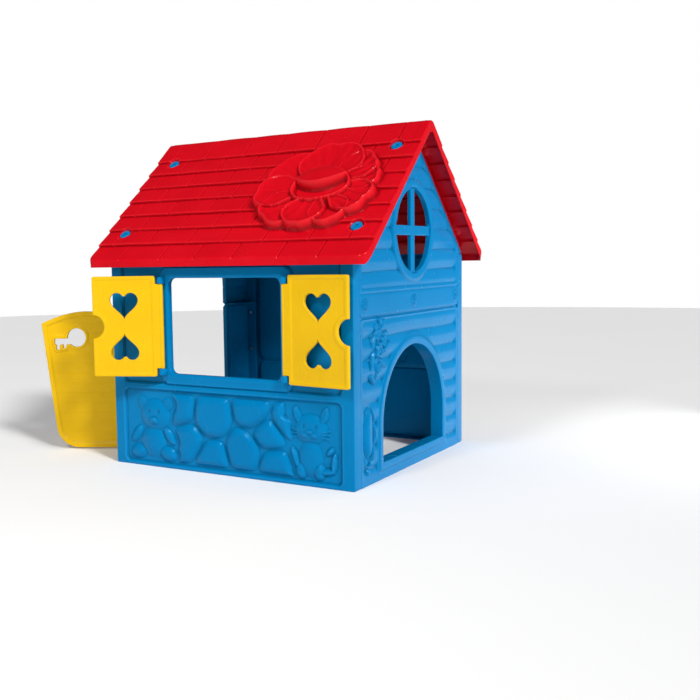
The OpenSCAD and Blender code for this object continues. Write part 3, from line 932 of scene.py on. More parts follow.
BEAR = Animal(
    ovals=((-322, 201, 22, 22, 0, 5), (-222, 200, 22, 22, 0, 5), (-272, 165, 60, 50, 0, 8.5),
           (-272, 146, 26, 20, 0, 11.5), (-280, 78, 52, 50, 0, 7.5), (-280, 74, 30, 30, 0, 9),
           (-346, 100, 17, 34, -38, 7), (-216, 100, 17, 34, 38, 7), (-340, 45, 34, 25, 12, 9),
           (-222, 44, 34, 25, -12, 9), (-344, 46, 16, 12, 12, 10.5), (-218, 45, 16, 12, -12, 10.5)),
    dents=((-322, 201, 11, 11, 0, 2.2), (-222, 200, 11, 11, 0, 2.2), (-291, 176, 5, 6, 0, 2.5),
           (-253, 176, 5, 6, 0, 2.5), (-272, 136, 11, 2.2, 0, 2.5)),
    bars=((-277, 152, -267, 152, 6, 2.5),))
CAT = Animal(
    ovals=((246, 202, 14, 27, 20, 6), (334, 204, 14, 27, -20, 6), (290, 164, 56, 44, 0, 8.5),
           (274, 148, 17, 14, 0, 11), (304, 148, 17, 14, 0, 11), (288, 80, 42, 54, 0, 7.5),
           (258, 44, 20, 26, 8, 9), (318, 44, 20, 26, -8, 9), (240, 78, 13, 36, 22, 7.5),
           (346, 46, 24, 12, 10, 8), (364, 72, 11, 30, -6, 8), (352, 104, 16, 10, 50, 7.5)),
    dents=((246, 204, 6, 15, 20, 2.4), (334, 206, 6, 15, -20, 2.4), (270, 174, 5, 7, 0, 2.5),
           (310, 174, 5, 7, 0, 2.5)),
    bars=((284, 157, 294, 157, 5, 2.5), (330, 158, 352, 163, 1.7, 3), (330, 150, 353, 150, 1.7, 3),
          (330, 142, 351, 137, 1.7, 3), (248, 158, 226, 163, 1.7, 3), (248, 150, 225, 150, 1.7, 3),
          (248, 142, 227, 137, 1.7, 3)))


@dataclass
class LongWall(WallPanel):
    """The front or the back wall with its window, sunk fields, stone and animal relief and shutter lugs.

    Attributes:
        window, frame: sides and corner radius of the window and of the frame round it.
        upper, lower: the same of the two sunk fields.
    """

    lip_width: ClassVar[float] = 12

    window: tuple[float, ...] = (-200, 200, 298, 591, 20)
    frame: tuple[float, ...] = (-234, 234, 264, 625, 30)
    upper: tuple[float, ...] = (-390, 390, 264, 637, 14)
    lower: tuple[float, ...] = (-390, 390, 12, 244, 16)

    def opening(self, u: Array, v: Array, grow: float = 0.0) -> Array:
        """Signed distance to the window, grown by some width."""
        return span_field(u, v, *self.window) - grow

    def inside(self, u: Array, v: Array) -> Array:
        """Distance from the outline and the window, positive in the wall."""
        outline = span_field(u, v, -HOUSE.half_len, HOUSE.half_len, 0, HOUSE.wall_top, 5)
        return np.minimum(-outline, self.opening(u, v))

    def fields(self, u: Array, v: Array) -> tuple[Array, Array, Array]:
        """Signed distances of the lower field, the upper field and the window's frame."""
        frame = span_field(u, v, *self.frame)
        return span_field(u, v, *self.lower), np.maximum(span_field(u, v, *self.upper), -frame), frame

    def outer(self, u: Array, v: Array) -> Array:
        """Height of the outer face: the sunk fields, the window's frame, the stones and the animals."""
        lower, upper, frame = self.fields(u, v)
        height = -HOUSE.recess * rise(np.minimum(lower, upper), 7) + 4 * rise(frame, 7)
        bead = 1.4 * (rise(np.abs(lower - 5) - 1.6, 4) + rise(np.abs(frame + 26) - 2.5, 5))
        bear, bear_edge = BEAR.shape(u, v)
        cat, cat_edge = CAT.shape(u, v)
        animals = np.minimum(bear_edge, cat_edge)
        wavy = 240 - 40 * rise(186 - v, 30) - np.abs(u) + 7 * np.sin(v / 27)
        stones = StoneWork().height(u, v, np.minimum.reduce([animals - 8, -lower - 7, wavy]))
        return height + bead + np.where(lower < 0, np.maximum(np.maximum(bear, cat), stones), 0)

    def inner(self, u: Array, v: Array) -> Array:
        """Height of the inner face, one skin behind the outer face without its relief."""
        lower, upper, _ = self.fields(u, v)
        return -HOUSE.skin - 0.5 - (HOUSE.recess - 0.5) * rise(np.minimum(lower, upper) - 5, 6)

    def lines(self) -> tuple[Array, Array]:
        """The grid, finer over the lower field."""
        return (grid_lines(-HOUSE.half_len, HOUSE.half_len, 0.78 * self.step,
                           [-394, -386, 386, 394, -204, -196, 196, 204]),
                banded_lines([8, 12, 16, 240, 244, 248, 260, 268, 294, 302, 587, 595, 621, 629, 637],
                             (0, 250, 0.76 * self.step), (250, HOUSE.wall_top, 1.7 * self.step)))

    def extras(self) -> list[Surface]:
        """The corner posts and the hinge lugs."""
        made, middle = [], HOUSE.wall_top / 2
        for side in (-1, 1):
            made.append(bevelled_prism(rounded_outline((17, middle - 4), 1), -HOUSE.rim + 0.1, -HOUSE.rim + 3,
                                       0.5, self.face.facing(side * (HOUSE.half_len - 20.2), middle)))
            made += [hinge_lug(self.face, side * 220, foot, 15) for foot in (294.5, 574.5)]
        return made


@dataclass
class LogRelief:
    """Moulded logs across a gable: pillows between level creases.

    Attributes:
        first: height of a crease.
        pitch: height of a log.
        tall: how far a log stands out.
    """

    first: float = 46
    pitch: float = 62
    tall: float = 7.5

    def height(self, v: Array, u: Array) -> Array:
        """Height of the logs over the field's floor: sine arches whose creases wander a little."""
        wave = 1.6 * np.sin(u / 67 + v / 90)
        t = ((v - self.first + wave) / self.pitch) % 1.0
        return self.tall * np.sin(math.pi * t) ** 0.8


@dataclass
class LeafSpray:
    """A climbing stem with leaves and small blossoms in low relief.

    Attributes:
        stem: the stem's corners.
        leaves: middle u, v, half axes and turn of each leaf.
        blossoms: middle u, v and radius of each blossom.
    """

    stem: tuple = ((-262, 306), (-270, 336), (-252, 368), (-258, 402), (-240, 432), (-244, 462))
    leaves: tuple = ((-292, 352, 32, 11, 72), (-284, 408, 26, 10, 64), (-196, 386, 28, 10, 28),
                     (-226, 340, 26, 10, -28), (-222, 452, 22, 9, 40), (-268, 440, 20, 9, -50),
                     (-292, 300, 22, 9, -40), (-208, 424, 20, 9, 10))
    blossoms: tuple = ((-252, 378, 25), (-222, 404, 20), (-262, 424, 20), (-240, 462, 15), (-256, 330, 18))

    def height(self, u: Array, v: Array) -> Array:
        """Height of the spray: bars for the stem, creased ovals for leaves, and five-lobed discs."""
        height = np.zeros(u.shape)
        for start, end in zip(self.stem[:-1], self.stem[1:]):
            height = np.maximum(height, 6 * pillow(bar_field(u, v, start, end, 6), 6))
        for cu, cv, a, b, turn in self.leaves:
            distance = oval_field(u, v, (cu, cv), (a, b), turn)
            c, s = math.cos(math.radians(turn)), math.sin(math.radians(turn))
            across = np.abs(-(u - cu) * s + (v - cv) * c)
            height = np.maximum(height, 9 * pillow(distance, 8) - 2.5 * rise(across - 1, 3) * (distance < 0))
        for cu, cv, radius in self.blossoms:
            angle, reach = np.arctan2(v - cv, u - cu), np.hypot(u - cu, v - cv)
            lobes = reach - radius * (0.74 + 0.26 * np.abs(np.cos(2.5 * angle)))
            eye = 4 * pillow(reach - 0.34 * radius, 0.3 * radius)
            height = np.maximum(height, 11 * pillow(lobes, 8) - 4 * rise(reach - 0.46 * radius, 4) + eye)
        return height


@dataclass
class LowerGable(WallPanel):
    """The lower panel of a gable, with the crawl arch on the right or the doorway on the left.

    Attributes:
        middle, radius, top, sill: place, half width, top and foot of the opening.
        relief: whether it has the leafy spray and the pod.
        bed, pod: middle and half sizes of the pod's bed and of the pod.
        bud: middle and radius of the bud under the pod.
    """

    middle: float = 0
    radius: float = 225
    top: float = 377
    sill: float = 50
    relief: bool = True
    bed: tuple = ((-316, 146), (40, 94))
    pod: tuple = ((-316, 150), (27, 74))
    bud: tuple = ((-318, 40), 11)

    def opening(self, u: Array, v: Array, grow: float = 0.0) -> Array:
        """Signed distance to the arch, grown by some width."""
        if self.top > HOUSE.band_foot:
            return span_field(u, v, self.middle - self.radius - grow, self.middle + self.radius + grow,
                              self.sill - grow, 900)
        return arch_field(u, v, self.middle, self.radius + grow, self.sill - grow, self.top + grow)

    def inside(self, u: Array, v: Array) -> Array:
        """Distance from the outline and the arch, positive in the panel."""
        outline = span_field(u, v, -HOUSE.inner_dep, HOUSE.inner_dep, 0, HOUSE.band_foot, 2.6)
        return np.minimum(-outline, self.opening(u, v))

    def field(self, u: Array, v: Array) -> Array:
        """Signed distance of the sunk field."""
        whole = span_field(u, v, 16 - HOUSE.inner_dep, HOUSE.inner_dep - 16, 12, HOUSE.band_foot - 12, 14)
        return np.maximum(whole, -self.opening(u, v, 34))

    def outer(self, u: Array, v: Array) -> Array:
        """Height of the outer face: logs in the field, the arch's raised frame, a pod and a leafy spray."""
        field_edge = self.field(u, v)
        sunk = rise(field_edge, 8)
        logs = LogRelief().height(v, u)
        arch = self.opening(u, v)
        frame = 4 * rise(self.opening(u, v, 25), 6) - 1.6 * rise(self.opening(u, v, 8), 7)
        frame *= v > self.sill - 20
        height = sunk * (logs - HOUSE.recess) + frame - 6 * rise(471.5 - v, 5)
        if self.relief:
            bed = oval_field(u, v, *self.bed)
            height -= sunk * (logs + 1.0) * rise(bed + 4, 9)
            height += sunk * 4 * rise(np.abs(bed) - 3, 5) * rise(v - 196, 30)
            raised = np.maximum(14 * pillow(oval_field(u, v, *self.pod), 24),
                                11 * pillow(disc_field(u, v, *self.bud), 10))
            height = np.where(sunk > 0.5, np.maximum(height, -7 + raised), height)
            spray = LeafSpray().height(u, v)
            height = np.where((spray > 0) & (arch > 24), np.maximum(height, -HOUSE.recess + 5 + spray),
                              height)
        return height

    def inner(self, u: Array, v: Array) -> Array:
        """Height of the inner face, behind the field's floor."""
        return -HOUSE.skin - 0.5 - (HOUSE.recess + 1) * rise(self.field(u, v) - 5, 6)

    def lines(self) -> tuple[Array, Array]:
        """The grid, finer where the spray climbs."""
        fine = 0.75 * self.step if self.relief else self.step
        return (banded_lines([-353, -349, -345, 345, 349, 353], (-HOUSE.inner_dep, -160, fine),
                             (-160, HOUSE.inner_dep, 1.25 * self.step)),
                grid_lines(0, HOUSE.band_foot, 0.85 * self.step, [8, 12, 16, 50, 464, 468, 472]))

    def extras(self) -> list[Surface]:
        """The tab behind the upper panel's band, and the door's lugs on the doorway's panel."""
        end, doorway = HOUSE.inner_dep - 8, self.top > HOUSE.band_foot
        tabs = [(-end, self.middle - self.radius - 4), (self.middle + self.radius + 4, end)] if doorway else [
            (-end, end)]
        made = [bevelled_prism(rounded_outline(((b - a) / 2, 29), 3), -5.9, -3.2, 0.7,
                               self.face.facing((a + b) / 2, HOUSE.band_foot + 26)) for a, b in tabs]
        if doorway:
            made += [hinge_lug(self.face, 180, foot, 17) for foot in HOUSE.lugs]
        return made


@dataclass
class UpperGable(WallPanel):
    """The upper panel of a gable with its band, round or arched opening, and cross bars.

    Attributes:
        middle: place of the opening along the panel.
        doorway, top: half width and top of the doorway, where there is one.
        window, window_mid: radius and middle height of the round window.
        bar: width of its cross bars.
        screws: places of the band's screws.
    """

    middle: float = 0
    doorway: float = 0
    top: float = 735
    window: float = 125
    window_mid: float = 723
    bar: float = 30
    screws: tuple[float, ...] = (-HOUSE.band_screws, 0, HOUSE.band_screws)

    @staticmethod
    def under_roof(u: Array, v: Array, drop: float = 0.0) -> Array:
        """Signed distance to the two planes under the roof, lowered by some amount."""
        c, s = math.cos(HOUSE.pitch), math.sin(HOUSE.pitch)
        return (v - (HOUSE.ridge - HOUSE.roof_rim / c)) * c + np.abs(u) * s + drop

    def outline(self, u: Array, v: Array) -> Array:
        """Signed distance of the outline: the band, the shoulders beside the long walls and the peak."""
        low = span_field(u, v, -HOUSE.inner_dep, HOUSE.inner_dep, HOUSE.band_foot, HOUSE.wall_top + 8, 2.6)
        high = np.maximum(np.abs(u) - 402, HOUSE.wall_top + 0.4 - v)
        return np.maximum(np.minimum(low, high), self.under_roof(u, v, 0.4))

    def opening(self, u: Array, v: Array, grow: float = 0.0) -> Array:
        """Signed distance to the doorway or the round window, grown by some width."""
        if self.doorway:
            return arch_field(u, v, self.middle, self.doorway + grow, 300, self.top + grow)
        return disc_field(u, v, (self.middle, self.window_mid), self.window + grow)

    def bars(self, u: Array, v: Array) -> Array:
        """Signed distance to the window's cross bars."""
        if self.doorway:
            return np.full(u.shape, 1e3)
        return np.minimum(np.abs(u - self.middle), np.abs(v - self.window_mid)) - self.bar / 2

    def inside(self, u: Array, v: Array) -> Array:
        """Distance from the outline and the panes, positive in the panel."""
        panes = np.maximum(self.opening(u, v), -self.bars(u, v))
        return np.minimum(-self.outline(u, v), panes)

    def field(self, u: Array, v: Array) -> Array:
        """Signed distance of the sunk field."""
        sides = span_field(u, v, 16 - HOUSE.inner_dep, HOUSE.inner_dep - 16, HOUSE.band_top + 12, 2000, 10)
        return np.maximum(np.maximum(sides, self.under_roof(u, v, 17)), -self.opening(u, v, 30))

    def outer(self, u: Array, v: Array) -> Array:
        """Height of the outer face: the band with its screw rings, logs, the window's frame and its bars."""
        sunk = rise(self.field(u, v), 8)
        band = v - HOUSE.band_top
        logs = LogRelief(first=HOUSE.band_top, tall=7).height(v, u)
        height = sunk * (logs - HOUSE.recess) - 2.5 * rise(np.abs(band - 1) - 1, 5)
        opening, bars = self.opening(u, v), self.bars(u, v)
        height += 4 * rise(self.opening(u, v, 26), 6) - 1.8 * rise(self.opening(u, v, 9), 8)
        height = np.where((opening < 4) & (bars < 8), np.minimum(height, -6 + 3.4 * dome(bars, 5)), height)
        for at in self.screws:
            away = disc_field(u, v, (at, HOUSE.band_mid), 0)
            height += 3.4 * rise(np.abs(away - 14) - 2.4, 3) - 1.0 * rise(away - 10.5, 1.5)
        return height

    def inner(self, u: Array, v: Array) -> Array:
        """Height of the inner face, behind the field's floor and the bars."""
        base = -HOUSE.skin - 0.2 - (HOUSE.recess + 1) * rise(self.field(u, v) - 5, 6)
        return np.where((self.opening(u, v) < 6) & (self.bars(u, v) < 10), -12.0, base)

    def lines(self) -> tuple[Array, Array]:
        """The grid, finer round the window."""
        marks = [s * m for s in (-1, 1) for m in (15, 335, 345, 349, 353, 365, 402)]
        return (banded_lines(marks, (-404, -160, 1.2 * self.step),
                             (-160, 160, 0.8 * self.step), (160, 404, 1.2 * self.step)),
                grid_lines(HOUSE.band_foot, HOUSE.ridge - 30, 0.85 * self.step,
                           [538, 542, 544, 548, 652.5, 708, 738]))


# ---------------------------------------------------------------- roof

@dataclass
class Flower:
    """A big open blossom in relief: petals with curled edges round a cup whose upper side hoods its hollow.

    Attributes:
        cup: middle of the cup on the slope.
        cup_half: its half width and half height.
        petals: direction in degrees, reach, half angle in degrees, level and rib height of each petal.
        middle: middle of the part of the slope that it covers.
        reach: half the side of that part.
    """

    cup: tuple[float, float] = (244, 291)
    cup_half: tuple[float, float] = (104, 78)
    petals: tuple = ((92, 206, 62, 9, 0.9), (150, 234, 42, 3, 0.5), (186, 230, 33, 7, 0.3),
                     (222, 212, 40, 3, 0.3), (264, 188, 40, 8, 0.6), (302, 196, 34, 3, 0.7),
                     (336, 206, 36, 6.5, 2.4), (12, 194, 32, 2.5, 2.2), (42, 198, 36, 6, 2.6))
    middle: tuple[float, float] = (220, 300)
    reach: float = 210

    def height(self, u: Array, v: Array) -> tuple[Array, Array]:
        """Height over the slope and the distance from the outline.

        Each petal is a fan about its own ray: its edge is the ray's reach times the fourth root of a falling
        square of the angle, with a slow wave. It rises outwards like a dish, curls up along its edge and then
        falls over a smooth step, and fine ribs fan out from the cup. Neighbours lie at different levels, so
        that one laps over the next. The cup is an oval ring. A domed hood covers its upper part down to a
        parabola, and under the hood's edge the surface steps down into the hollow.

        Args:
            u, v: places on the slope.

        Returns:
            The height and the outline's distance.
        """
        du, dv = u - self.cup[0], v - self.cup[1]
        radius, angle = np.hypot(du, dv), np.arctan2(dv, du)
        height, outline = np.full(u.shape, -50.0), np.full(u.shape, 1e3)
        for degrees, reach, spread, level, ribs in self.petals:
            turn = np.angle(np.exp(1j * (angle - math.radians(degrees))))
            share = np.clip(1 - (turn / math.radians(spread)) ** 2, 0, 1) ** 0.3
            edge_line = reach * share * (1 + 0.012 * np.cos(turn * 11 + degrees)
                                         - 0.03 * np.exp(-(turn * 9) ** 2))
            side = (np.abs(turn) - math.radians(spread)) * radius
            distance = np.maximum(0.86 * (radius - edge_line), side)
            fan = ribs * np.cos(turn * 30) * np.clip((radius - 90) / 50, 0, 1) * rise(distance + 15, 14)
            curl = (6.5 + 2 * math.cos(math.radians(degrees) + 1)) * np.exp(-((distance + 11) / 8.5) ** 2)
            vein = 2.2 * np.exp(-(turn * radius / 8) ** 2) * rise(distance + 20, 20)
            petal = 5 + level + 7 * np.clip((radius - 80) / 120, 0, 1) ** 2 + curl + fan - vein
            petal = (petal + 7) * rise(distance + 6.5, 13) - 7
            height = np.where(distance < 0, np.maximum(height, petal), height)
            outline = np.minimum(outline, distance)
        p, q = du / self.cup_half[0], dv / self.cup_half[1]
        out, spin = np.hypot(p, q), np.arctan2(q, p)
        edge = (out - 1 - 0.04 * np.cos(3 * spin + 0.8)) * 86
        fold = (q + 0.28 - 0.75 * (p + 0.12) ** 2) * self.cup_half[1]
        hollow = 7 + 5 * out ** 2
        hood = 20 + 18 * np.sqrt(np.clip(1 - out ** 2, 0, 1)) + 3 * np.exp(-((fold - 9) / 8) ** 2)
        ring = (25 + 4 * np.cos(spin - 2.1)) * np.exp(-((edge + 11) / 8.5) ** 2)
        centre = np.maximum(hollow + (hood - hollow) * rise(-fold + 4, 16), ring)
        centre = (centre + 7) * rise(edge + 4.5, 9) - 7
        height = np.where(edge < -9, centre, np.where(edge < 0, np.maximum(height, centre), height))
        return height, np.minimum(outline, edge)


@dataclass
class RoofHalf(Shell):
    """One slope of the roof: eight courses of moulded shingles, rolled edges, ribs and bolt wells.

    Attributes:
        front: True for the slope over the front wall.
        courses: number of courses.
        top_course: length of the top course, in courses.
        shingle: width of a shingle.
        fall: how far a course falls away up the slope.
        ridge_radius: radius of the rounded ridge.
        flower: the blossom on it, if there is one.
    """

    finish: ClassVar[Finish] = Finish.RED
    crease: ClassVar[float] = 33
    wall: ClassVar[Wall] = Wall(skin=3.5, fillet=3.2)

    front: bool
    courses: int = 8
    top_course: float = 1.65
    shingle: float = 140
    fall: float = 7
    ridge_radius: float = 27
    flower: Optional[Flower] = None

    @property
    def course(self) -> float:
        """Length of a course along the slope."""
        return HOUSE.slope / (self.courses - 1 + self.top_course)

    @staticmethod
    def lean(v: Array) -> Array:
        """How far heights are square to the slope: 1 over most of it, falling smoothly to 0 at both ends."""
        t = np.clip(v / 30, 0, 1) * np.clip((HOUSE.slope - v) / 40, 0, 1)
        return t * t * (3 - 2 * t)

    def place(self, u: Array, v: Array, h: Array) -> Array:
        """Points of this slope: u along the eave, v up the slope and h out of it.

        Heights are square to the slope, but upright close to the eave and the ridge, so that both edges come
        out as upright faces. Below the skin the edges drop in the same way.
        """
        lean = self.lean(v)
        y, z = HOUSE.on_slope(v, lean * h)
        return slope_points(self.front, u, y, z + h * (1 - lean) / math.cos(HOUSE.pitch))

    def inside(self, u: Array, v: Array) -> Array:
        """Distance from the slope's outline, rounded at the eave's corners."""
        half = HOUSE.roof_len / 2
        plain = -span_field(u, v, -half, half, 0, HOUSE.slope, 0.1)
        low = -span_field(u, v, -half, half, 0, HOUSE.slope + 100, 26)
        return np.where(v < 100, low, plain)

    def steps(self, v: Array) -> Array:
        """Height of the courses: each falls away up the slope under the next one's lip."""
        k = np.clip(np.floor(v / self.course), 0, self.courses - 1)
        t = (v - k * self.course) / self.course
        drop = np.where(k == self.courses - 1, 0.15 * t, t)
        lip = np.clip(1 - (v - k * self.course) / 3.5, 0, 1) ** 2
        return -self.fall * drop - 1.3 * lip * (k > 0)

    def rounding(self, v: Array) -> Array:
        """Depth of the rounded ridge's arc under the sharp ridge, square to the slope."""
        pitch, radius = HOUSE.pitch, self.ridge_radius
        away = np.clip((HOUSE.slope - v) * math.cos(pitch), 0, radius * math.sin(pitch))
        return radius - away * math.sin(pitch) - math.cos(pitch) * np.sqrt(radius ** 2 - away ** 2)

    def joints(self, parity: int) -> Array:
        """Places of the joints along the even or the odd courses, none quite where an even spacing has it."""
        i = np.arange(0, 9)
        return (i - 0.5 * parity) * self.shingle + 9 * np.sin(4.1 * i + 1.9 * parity) - HOUSE.roof_len / 2

    def outer(self, u: Array, v: Array) -> Array:
        """Height of the outer face: courses, joints, slightly uneven shingles, bolt wells and flower."""
        k = np.clip(np.floor(v / self.course), 0, self.courses - 1).astype(int)
        joints = np.array([self.joints(parity) for parity in (0, 1)])
        away = u[..., None] - joints[k % 2]
        joint = np.abs(away).min(axis=-1)
        which = (away > 0).sum(axis=-1)
        deep = rise(joint - 2.7, 1.8) * rise(np.abs(u) - 474, 8)
        uneven = 1.1 * np.sin(which * 5.3 + k * 3.7) * np.clip(joint / 50, 0, 1)
        height = self.steps(v) - 2.8 * deep + uneven * rise(np.abs(u) - 470, 20) - self.rounding(v)
        height = height - 0.9 * rise(-(np.abs(u) - 476), 5) * (np.abs(u) > 470)
        for spot in HOUSE.bolts:
            well = disc_field(u, v, spot, 21)
            lip, hole = 1.2 * rise(np.abs(well - 3.5) - 1.8, 3), rise(well, 3)
            height = np.where(well < 1.5, np.minimum(height, height * (1 - hole) - 12 * hole), height + lip)
        if self.flower:
            relief, outline = self.flower.height(u, v)
            height = np.where(outline < 0, np.maximum(relief, height), height)
            height -= 1.3 * rise(np.abs(outline - 2) - 1, 4)
        return height

    def inner(self, u: Array, v: Array) -> Array:
        """Height of the inner face: the plain courses moved up the slope and in by one skin."""
        skin = self.wall.skin
        height = self.steps(np.clip(v - skin, 0, None)) - skin - 1.2 - self.rounding(v)
        for spot in HOUSE.bolts:
            height -= (height + 16) * rise(disc_field(u, v, spot, 26), 5)
        return height

    def rim_end(self, u: Array, v: Array) -> Array:
        """Height of the rolled edge's free end: square to the slope, and above the fascia's foot."""
        pitch, lean = HOUSE.pitch, self.lean(v)
        rate = lean * math.cos(pitch) + (1 - lean) / math.cos(pitch)
        arc = 1.3 * self.rounding(v) * (np.abs(u) > 440)
        return np.maximum(-HOUSE.roof_rim, -(22 + v * math.sin(pitch)) / rate) - arc

    def lines(self) -> tuple[Array, Array]:
        """Grid lines: close at the courses, the joints and the flower."""
        half, slope = HOUSE.roof_len / 2, HOUSE.slope
        joints = [x + d for parity in (0, 1) for x in self.joints(parity) for d in (-3.7, -1.7, 0, 1.7, 3.7)]
        marks_u = [-488, -476, 476, 488] + [m for m in joints if abs(m) < 474]
        marks_v = [k * self.course + d for k in range(1, self.courses) for d in (-0.5, 0, 1.2, 2.6, 4.5)]
        marks_v += [1.5, 4]
        if not self.flower:
            return grid_lines(-half, half, 8, marks_u), grid_lines(0, slope, 9, marks_v)
        cu, cv, r = *self.flower.middle, self.flower.reach + 10
        return (banded_lines(marks_u, (-half, cu - r, 8), (cu - r, cu + r, 2.9), (cu + r, half, 6)),
                banded_lines(marks_v, (0, cv - r, 9), (cv - r, cv + r, 2.9), (cv + r, slope, 9)))

    def extras(self) -> list[Surface]:
        """The hollow ribs under the slope that sit on the gables."""
        low, high, top, foot = 42, HOUSE.slope - 34, -13.5, 0.3 - HOUSE.roof_rim
        corners = HOUSE.on_slope(np.array([low, high, high, low]), np.array([top, top, foot, foot]))
        outline = np.stack(corners, axis=-1)
        return [bevelled_prism(outline[::-1], a, a + 36, 1.2,
                               lambda local: slope_points(self.front, local[:, 2], local[:, 0], local[:, 1]))
                for a in (-428, 392)]


# ---------------------------------------------------------------- leaves

@dataclass
class Leaf(Shell):
    """A flat moulded leaf on upright pins: raised rim on both faces, thin inside it.

    Attributes:
        axis: place of its hinge axis.
        turn: angle in degrees at which it stands.
        flipped: True for a leaf that lies towards -X before it is turned.
        thick: thickness of its rim.
    """

    finish: ClassVar[Finish] = Finish.YELLOW
    wall: ClassVar[Wall] = Wall(fillet=2.4)
    rimmed: ClassVar[bool] = False

    axis: tuple[float, float]
    turn: float
    flipped: bool = False
    thick: float = 12
    step: float = field(default=2.4, kw_only=True)

    def inner(self, u: Array, v: Array) -> Array:
        """Height of the back, the front's mirror image."""
        return -self.outer(u, v)

    def place(self, u: Array, v: Array, h: Array) -> Array:
        """Stands the leaf up, with its front towards -Y."""
        return np.stack([u, -h, v], axis=-1)

    def surface(self) -> Surface:
        """The leaf with its knuckles and pins, at its place and turn."""
        leaf = super().surface()
        if self.flipped:
            leaf = leaf.mirrored()
        return leaf.turned(self.turn, (*self.axis, 0))


def pin_stack(radius: float, low: float, high: float, soft: float = 1.0) -> Surface:
    """A round upright bar on the hinge axis, softened at both ends."""
    return lathe([(radius - inset, z) for inset, z in softened(low, high, soft)], in_place, 32)


def heart_outline(width: float) -> Array:
    """Outline of an upright heart: the classic sine and cosine sum, scaled to its width."""
    a = np.radians(np.arange(0, 360, 8))
    upright = 13 * np.cos(a) - 5 * np.cos(2 * a) - 2 * np.cos(3 * a) - np.cos(4 * a)
    return width / 32 * np.column_stack([16 * np.sin(a) ** 3, upright])


@dataclass
class Shutter(Leaf):
    """A shutter with two hearts, a round grip notch in its free edge and plank grooves.

    Attributes:
        start, wide, foot, top: its sides.
        strip: how far the strip along the pins stops short of its ends.
        heart, heart_off: width of a heart and its distance from the middle.
        notch: radius of the grip notch.
        rim, sunk: width of the rim and how far the field lies under it.
        grooves: places of the plank grooves.
    """

    start: float = 17
    wide: float = 218
    foot: float = 290
    top: float = 599
    strip: float = 25
    heart: float = 90
    heart_off: float = 70
    notch: float = 36
    rim: float = 12
    sunk: float = 1.6
    grooves: tuple[float, ...] = (52, 84, 117, 150, 183)

    @property
    def middle(self) -> tuple[float, float]:
        """Middle of the leaf's face."""
        return (self.start + self.wide) / 2, (self.foot + self.top) / 2

    def hearts(self, u: Array, v: Array) -> Array:
        """Signed distance to the two hearts, the lower one upside down."""
        cu, cv = self.middle
        way = np.where(v > cv, 1.0, -1.0)
        return outline_field(u - cu, (v - cv) * way - self.heart_off, heart_outline(self.heart))

    def inside(self, u: Array, v: Array) -> Array:
        """Distance from the outline, the notch and the hearts."""
        leaf = span_field(u, v, self.start, self.wide, self.foot, self.top, 6)
        strip = span_field(u, v, 2, self.start + 10, self.foot + self.strip, self.top - self.strip, 1)
        notch = disc_field(u, v, (self.wide, self.middle[1]), self.notch)
        return np.minimum(np.minimum(-np.minimum(leaf, strip), notch), self.hearts(u, v))

    def outer(self, u: Array, v: Array) -> Array:
        """Height of a face: the rim, the thin field, a bead round each heart and the plank grooves."""
        notch = disc_field(u, v, (self.wide, self.middle[1]), self.notch + self.rim)
        field_edge = np.maximum.reduce([
            span_field(u, v, self.start + self.rim, self.wide - self.rim, self.foot + self.rim,
                       self.top - self.rim, 5), -notch, 3.5 - self.hearts(u, v)])
        bead = 0.8 * rise(np.abs(field_edge - 1) - 0.8, 3)
        height = self.thick / 2 - self.sunk * rise(field_edge, 3.0) - bead
        for at in self.grooves:
            height -= 0.5 * rise(np.abs(u - at) - 0.8, 5) * rise(field_edge + 5, 3)
        return height

    def lines(self) -> tuple[Array, Array]:
        """The grid, with lines along the straight edges."""
        return (grid_lines(0, self.wide, self.step,
                           [2, 4.4, 17, 19.4, 27.5, 30.5, 50, 54, 181, 185, 204.5, 207.5, 215.6]),
                grid_lines(self.foot, self.top, self.step,
                           [292.4, 300.5, 303.5, 317.4, 571.6, 585.5, 588.5, 596.6]))

    def extras(self) -> list[Surface]:
        """The round knuckle along the strip and a pin at each end."""
        low, high = self.foot + self.strip, self.top - self.strip
        return [pin_stack(7, low, high), pin_stack(4, low - 16, low + 2, 0.8),
                pin_stack(4, high - 2, high + 16, 0.8)]


